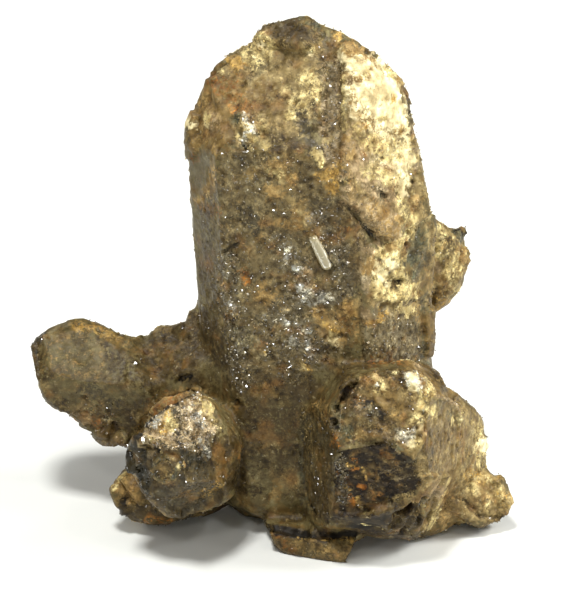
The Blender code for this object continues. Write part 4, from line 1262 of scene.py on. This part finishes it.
def speckled(tree, colour, speckle, grain):
    """The colour with lighter and darker grains, warm stains, dark specks and pale flecks; the grains are
    lighter where the bump rises, partly painted highlight and shade.
    """
    brightness = map_node(tree, grain, 0.36, 0.66, 0.45, 1.6)
    finest = map_node(tree, texture_node(tree, 0.2), 0.3, 0.7, 0.62, 1.38)
    grey = grey_node(tree, math_node(tree, "MULTIPLY", brightness, finest))
    colour = mix_node(tree, "MULTIPLY", speckle, colour, grey)
    stained = map_node(tree, texture_node(tree, 1.2, 3.0, 0.65), 0.56, 0.7, 0.0, 0.6)
    colour = mix_node(tree, "MULTIPLY", math_node(tree, "MULTIPLY", stained, speckle), colour, STAIN_TINT)
    dark = map_node(tree, texture_node(tree, 0.38, 3.0), 0.6, 0.68, 0.0, 0.9)
    colour = mix_node(tree, "MULTIPLY", math_node(tree, "MULTIPLY", dark, speckle), colour, DARK_TINT)
    flecked = map_node(tree, texture_node(tree, 0.42, 2.0, 0.5), 0.66, 0.72, 0.0, 0.5)
    return mix_node(tree, "MIX", math_node(tree, "MULTIPLY", flecked, speckle), colour, FLECK_COLOUR)


def glinting_facets(tree, sparkle):
    """The roughness of facets, some of them smooth, and how far each one's normal is tilted."""
    facets = tree.nodes.new("ShaderNodeTexVoronoi")
    facets.inputs["Scale"].default_value = 1 / (FACET_SIZE * MM)
    tree.links.new(object_place(tree), facets.inputs["Vector"])
    parts = tree.nodes.new("ShaderNodeSeparateColor")
    tree.links.new(facets.outputs["Color"], parts.inputs["Color"])
    glinting = map_node(tree, parts.outputs["Red"], 0.55, 0.8, 0.0, 1.0)
    lowered = math_node(tree, "MULTIPLY", math_node(tree, "MULTIPLY", glinting, sparkle), -0.25)
    shine = math_node(tree, "ADD", attribute_node(tree, "roughness").outputs["Fac"], lowered)
    centred = vector_node(tree, "SUBTRACT", facets.outputs["Color"], (0.5, 0.5, 0.5))
    tilt = vector_node(tree, "SCALE", centred, math_node(tree, "MULTIPLY", sparkle, FACET_TILT))
    return math_node(tree, "MAXIMUM", shine, SMOOTHEST), tilt


def stone_material():
    """Weathered mineral: painted colour broken up by grains, flecks and glinting facets."""
    material, tree, shader = new_material("weathered_mineral")
    sparkle = attribute_node(tree, "sparkle").outputs["Fac"]
    comes_and_goes = map_node(tree, texture_node(tree, 1.7), 0.4, 0.6, 0.35, 1.0)
    speckle = math_node(tree, "MULTIPLY", attribute_node(tree, "speckle").outputs["Fac"], comes_and_goes)
    grain = texture_node(tree, 0.55, 5.0, 0.75)
    roughness, tilt = glinting_facets(tree, sparkle)
    bump = tree.nodes.new("ShaderNodeBump")
    bump.inputs["Strength"].default_value = 1.0
    bump.inputs["Distance"].default_value = GRAIN_RELIEF * MM
    # The grain noise is both the bump's height and the colour's lighter and darker grains: partly the stone's
    # own grainy tone, partly painted highlight on the rises and shade in the hollows
    uneven = math_node(tree, "MULTIPLY", grain, math_node(tree, "ADD", speckle, 0.15))
    tree.links.new(uneven, bump.inputs["Height"])
    turned = vector_node(tree, "NORMALIZE", vector_node(tree, "ADD", bump.outputs["Normal"], tilt))
    tree.links.new(speckled(tree, crusted_paint(tree), speckle, grain), shader.inputs["Base Color"])
    tree.links.new(roughness, shader.inputs["Roughness"])
    tree.links.new(turned, shader.inputs["Normal"])
    shader.inputs["Specular IOR Level"].default_value = STONE_SHINE
    return material


def grain_material(name, roughness, shine):
    """Small crystals, each in its own painted colour."""
    material, tree, shader = new_material(name)
    grey = grey_node(tree, map_node(tree, texture_node(tree, 0.25), 0.3, 0.7, 0.75, 1.25))
    colour = mix_node(tree, "MULTIPLY", 1.0, attribute_node(tree, "paint").outputs["Color"], grey)
    tree.links.new(colour, shader.inputs["Base Color"])
    shader.inputs["Roughness"].default_value = roughness
    shader.inputs["Specular IOR Level"].default_value = shine
    return material


def grain_shape():
    """Corners and faces of a double pyramid about one unit across."""
    corners = np.array([(1, 0, 0), (0, 1, 0), (-1, 0, 0), (0, -1, 0), (0, 0, 1), (0, 0, -1)], float) / 2
    faces = [(i, (i + 1) % 4, 4) for i in range(4)] + [((i + 1) % 4, i, 5) for i in range(4)]
    return corners, np.array(faces)


def frames(axes, random):
    """Rotation matrices with the given unit vectors as their third axes, turned at random about them."""
    first = np.cross(random.normal(size=axes.shape), axes)
    first /= np.linalg.norm(first, axis=1)[:, None]
    return np.stack([first, np.cross(axes, first), axes], 2)


def point_values(mesh, name):
    found = np.empty(len(mesh.vertices), np.float32)
    mesh.attributes[name].data.foreach_get("value", found)
    return found.astype(float)


def point_colours(mesh, name):
    found = np.empty(len(mesh.vertices) * 4, np.float32)
    mesh.attributes[name].data.foreach_get("color", found)
    return found.reshape(-1, 4)[:, :3].astype(float)


def unit(vectors):
    return vectors / np.linalg.norm(vectors, axis=1)[:, None]


def scatter(surface, weight, count, random):
    """Places on the surface, thicker where weight is higher, with their normals and painted colours."""
    mesh = surface.data
    chosen = random.choice(len(weight), count, p=weight / weight.sum())
    places = vertex_array(mesh, "co")[chosen] / MM + random.normal(size=(count, 3)) * GRAIN_SPREAD
    crusted = random.random(count) < point_values(mesh, "share")[chosen]
    below, above = (point_colours(mesh, name)[chosen] for name in COLOURS)
    return places, vertex_array(mesh, "normal")[chosen], np.where(crusted[:, None], above, below)


def grain_texture_cells(mesh, count, faces):
    """Gives each grain a small square of its own on the texture."""
    across = math.ceil(math.sqrt(count))
    corner = np.array([(0.2, 0.2), (0.8, 0.2), (0.5, 0.8)])
    number = np.repeat(np.arange(count), faces * 3)
    squares = np.stack([number % across, number // across], 1)
    layer = mesh.uv_layers.new(name=BAKE_LAYOUT)
    layer.data.foreach_set("uv", ((squares + np.tile(corner, (count * faces, 1))) / across).ravel())


def triangle_mesh(name, points, links):
    """A mesh of points in mm, where each three links in a row make a triangle."""
    made = bpy.data.meshes.new(name)
    made.vertices.add(len(points))
    made.vertices.foreach_set("co", (points * MM).astype(np.float32).ravel())
    made.loops.add(len(links))
    made.loops.foreach_set("vertex_index", links.astype(np.int32))
    made.polygons.add(len(links) // 3)
    made.polygons.foreach_set("loop_start", np.arange(0, len(links), 3, dtype=np.int32))
    made.update(calc_edges=True)
    return made


def grains(name, places, normals, colours, sizes, aligned, random):
    """A joined mesh of small crystals set in the surface; aligned is the share that looks one way."""
    count = len(places)
    size = sizes[0] + (sizes[1] - sizes[0]) * random.random(count) ** 2
    centre = places - normals * (GRAIN_SINK * size)[:, None]
    centre[:, 2] = np.maximum(centre[:, 2], 0.6 * size)
    corners, faces = grain_shape()
    width, height = 0.6 + 0.5 * random.random(count), 0.7 + 0.9 * random.random(count)
    stretch = np.stack([np.ones(count), width, height], 1)
    shaped = corners[None] * (stretch * size[:, None])[:, None]
    looking = unit(random.normal(size=(count, 3)))
    kept = random.random(count) < aligned
    together = unit(np.array(ALIGNED_FACE) + random.normal(size=(count, 3)) * ALIGNED_SPREAD)
    looking[kept] = together[kept]
    turns = np.einsum("nij,nkj->nik", frames(looking, random), frames(unit(1 / stretch), random))
    points = (centre[:, None] + np.einsum("nij,nkj->nki", turns, shaped)).reshape(-1, 3)
    links = (faces[None] + np.arange(count)[:, None, None] * len(corners)).reshape(-1)
    made = triangle_mesh(name, points, links)
    rgba = np.ones((count, 4), np.float32)
    rgba[:, :3] = np.clip(colours, 0, 0.95)
    paint = made.attributes.new("paint", "FLOAT_COLOR", "POINT")
    paint.data.foreach_set("color", np.repeat(rgba, len(corners), axis=0).ravel())
    made.shade_flat()
    grain_texture_cells(made, count, len(faces))
    return add_object(name, made)


def scattered_grains(name, surface, weight, count, sizes, brightness, aligned, seed):
    """Grains strewn where weight is high, in the surface's own colours times a random brightness."""
    random = np.random.default_rng(seed)
    places, normals, colours = scatter(surface, weight, count, random)
    light = brightness[0] + (brightness[1] - brightness[0]) * random.random(count) ** 2
    return grains(name, places, normals, colours * light[:, None], sizes, aligned, random)


def bright_crystals(picture):
    """The little crystals that stand out singly, each group around its place in the picture."""
    random = np.random.default_rng(5)
    places, normals = [], []
    for u, v, count in GLINTS:
        for across, down in random.normal(size=(count, 2)) * GLINT_SPREAD:
            found = picture.find(u + across, v + down)
            if found is not None:
                places.append(found[0])
                normals.append(found[1])
    colours = np.tile(np.array(GLINT_COLOUR), (len(places), 1)) * (0.5 + random.random((len(places), 1)))
    return grains("bright_crystals", np.array(places), np.array(normals), colours, GLINT_SIZES, 1.0, random)


def rod_half_width(t):
    """Half the rod's width at the share t of its length: narrower at the top and rounded at the foot."""
    rounding = max(0.0, (t - (1 - ROD_ROUND_END)) / ROD_ROUND_END)
    rounded = math.sqrt(max(0.0, 1 - rounding ** 2))
    return max(ROD_HALF_WIDTH * rounded * (ROD_TOP_WIDTH + (1 - ROD_TOP_WIDTH) * min(1, t / 0.5)), 0.02)


def tube_faces(rings, spokes):
    """Faces of a closed tube whose points go ring by ring."""
    faces = []
    for i in range(rings - 1):
        for k in range(spokes):
            a, b = i * spokes + k, i * spokes + (k + 1) % spokes
            faces.append((a, b, b + spokes, a + spokes))
    faces.append(tuple(reversed(range(spokes))))
    faces.append(tuple(range((rings - 1) * spokes, rings * spokes)))
    return faces


def glassy_rod(picture):
    """The small clear crystal that lies in the front face, with a rounded lower end."""
    upper, normal = picture.find(*ROD_TOP)
    lower, _ = picture.find(*ROD_FOOT)
    along = lower - upper
    length = np.linalg.norm(along)
    along /= length
    out = normal - along * (normal @ along)
    out /= np.linalg.norm(out)
    side = np.cross(along, out)
    points = []
    for i in range(ROD_RINGS):
        t = i / (ROD_RINGS - 1)
        width = rod_half_width(t)
        middle = upper + along * (length * 1.03 * t) + out * ROD_RISE
        for k in range(ROD_SPOKES):
            angle = 2 * math.pi * k / ROD_SPOKES
            across, up = width * math.cos(angle), ROD_THICKNESS * width * math.sin(angle)
            points.append(middle + side * across + out * up)
    mesh = bpy.data.meshes.new("glassy_rod")
    mesh.from_pydata([tuple(p * MM) for p in points], [], tube_faces(ROD_RINGS, ROD_SPOKES))
    mesh.update()
    mesh.shade_smooth()
    return add_object("glassy_rod", mesh)


def clear_material():
    """Colourless to faintly yellow clear mineral, duller in bands."""
    material, tree, shader = new_material("clear_mineral")
    shader.inputs["Base Color"].default_value = (0.50, 0.43, 0.25, 1)
    shader.inputs["Transmission Weight"].default_value = 0.45
    shader.inputs["IOR"].default_value = 1.5
    tree.links.new(map_node(tree, texture_node(tree, 0.8), 0.4, 0.7, 0.08, 0.35), shader.inputs["Roughness"])
    return material


def make_camera():
    data = bpy.data.cameras.new("camera")
    data.sensor_width = SENSOR
    data.lens = PIXELS_PER_MM * CAMERA_DISTANCE * SENSOR / PICTURE_HIGH
    data.clip_start = 0.01
    data.clip_end = 20
    camera = add_object("camera", data)
    camera.location = (LOOK_AT - Picture.forward * CAMERA_DISTANCE) * MM
    camera.rotation_euler = (math.pi / 2 - CAMERA_TILT, 0, 0)
    bpy.context.scene.camera = camera


def area_light(name, azimuth, elevation, size, power):
    """A soft square lamp that shines on the cluster; azimuth 0 is in front of it and 90 to its right."""
    data = bpy.data.lights.new(name, "AREA")
    data.size = size
    data.energy = power
    lamp = add_object(name, data)
    a, e = math.radians(azimuth), math.radians(elevation)
    away = Vector((math.sin(a) * math.cos(e), -math.cos(a) * math.cos(e), math.sin(e)))
    lamp.location = Vector((0, 0, 0.02)) + away * LAMP_DISTANCE
    lamp.rotation_euler = away.to_track_quat("Z", "Y").to_euler()


def make_floor():
    mesh = bpy.data.meshes.new("floor")
    corners = [(-FLOOR_HALF, -FLOOR_HALF, 0), (FLOOR_HALF, -FLOOR_HALF, 0), (FLOOR_HALF, FLOOR_HALF, 0),
               (-FLOOR_HALF, FLOOR_HALF, 0)]
    mesh.from_pydata(corners, [], [(0, 1, 2, 3)])
    floor = add_object("floor", mesh)
    material, _, shader = new_material("pale_floor")
    shader.inputs["Base Color"].default_value = FLOOR_COLOUR
    shader.inputs["Roughness"].default_value = 0.6
    mesh.materials.append(material)


def make_studio():
    """A pale floor, a bright sky and soft lamps."""
    world = bpy.data.worlds.new("studio")
    bpy.context.scene.world = world
    world.use_nodes = True
    world.node_tree.nodes["Background"].inputs["Color"].default_value = (1, 1, 1, 1)
    world.node_tree.nodes["Background"].inputs["Strength"].default_value = SKY_STRENGTH
    for lamp in LAMPS:
        area_light(*lamp)
    for number, (azimuth, elevation) in enumerate(SMALL_LAMPS):
        area_light("small_lamp_%d" % number, azimuth, elevation, SMALL_LAMP_SIZE, SMALL_LAMP_POWER)
    make_floor()
    bpy.context.scene.view_settings.view_transform = "Standard"


def small_crystals(surface):
    """The druse where the surface glints, and the crumbs on its pale and speckled crusts."""
    sparkle = point_values(surface.data, "sparkle")
    share = point_values(surface.data, "share")
    below, above = (point_colours(surface.data, name)[:, 1] for name in COLOURS)
    luminance = below + (above - below) * share
    druse = scattered_grains("druse_grains", surface, fade(sparkle, 1.0, 0.2), DRUSE_GRAINS, DRUSE_SIZES,
                             (0.6, 2.0), ALIGNED_DRUSE, 1)
    druse.data.materials.append(grain_material("druse", 0.2, 1.0))
    crumbly = fade(point_values(surface.data, "speckle"), 0.85, 0.5) * (0.1 + luminance)
    crust = scattered_grains("crust_crumbs", surface, crumbly, CRUST_GRAINS, CRUST_SIZES, (0.5, 1.6), 0.0, 2)
    crust.data.materials.append(grain_material("crumbs", 0.42, 0.5))
    return druse, crust


def main():
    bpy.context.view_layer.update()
    make_camera()
    make_studio()
    surface, picture = weathered_surface(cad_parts[NODE])
    surface.data.materials.clear()
    surface.data.materials.append(stone_material())
    druse, crust = small_crystals(surface)
    bright = bright_crystals(picture)
    bright.data.materials.append(grain_material("bright_mineral", 0.15, 1.0))
    rod = glassy_rod(picture)
    rod.data.materials.append(clear_material())
    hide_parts(NODE)
    for piece in (surface, druse, crust, bright, rod):
        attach(piece, "root")


main()
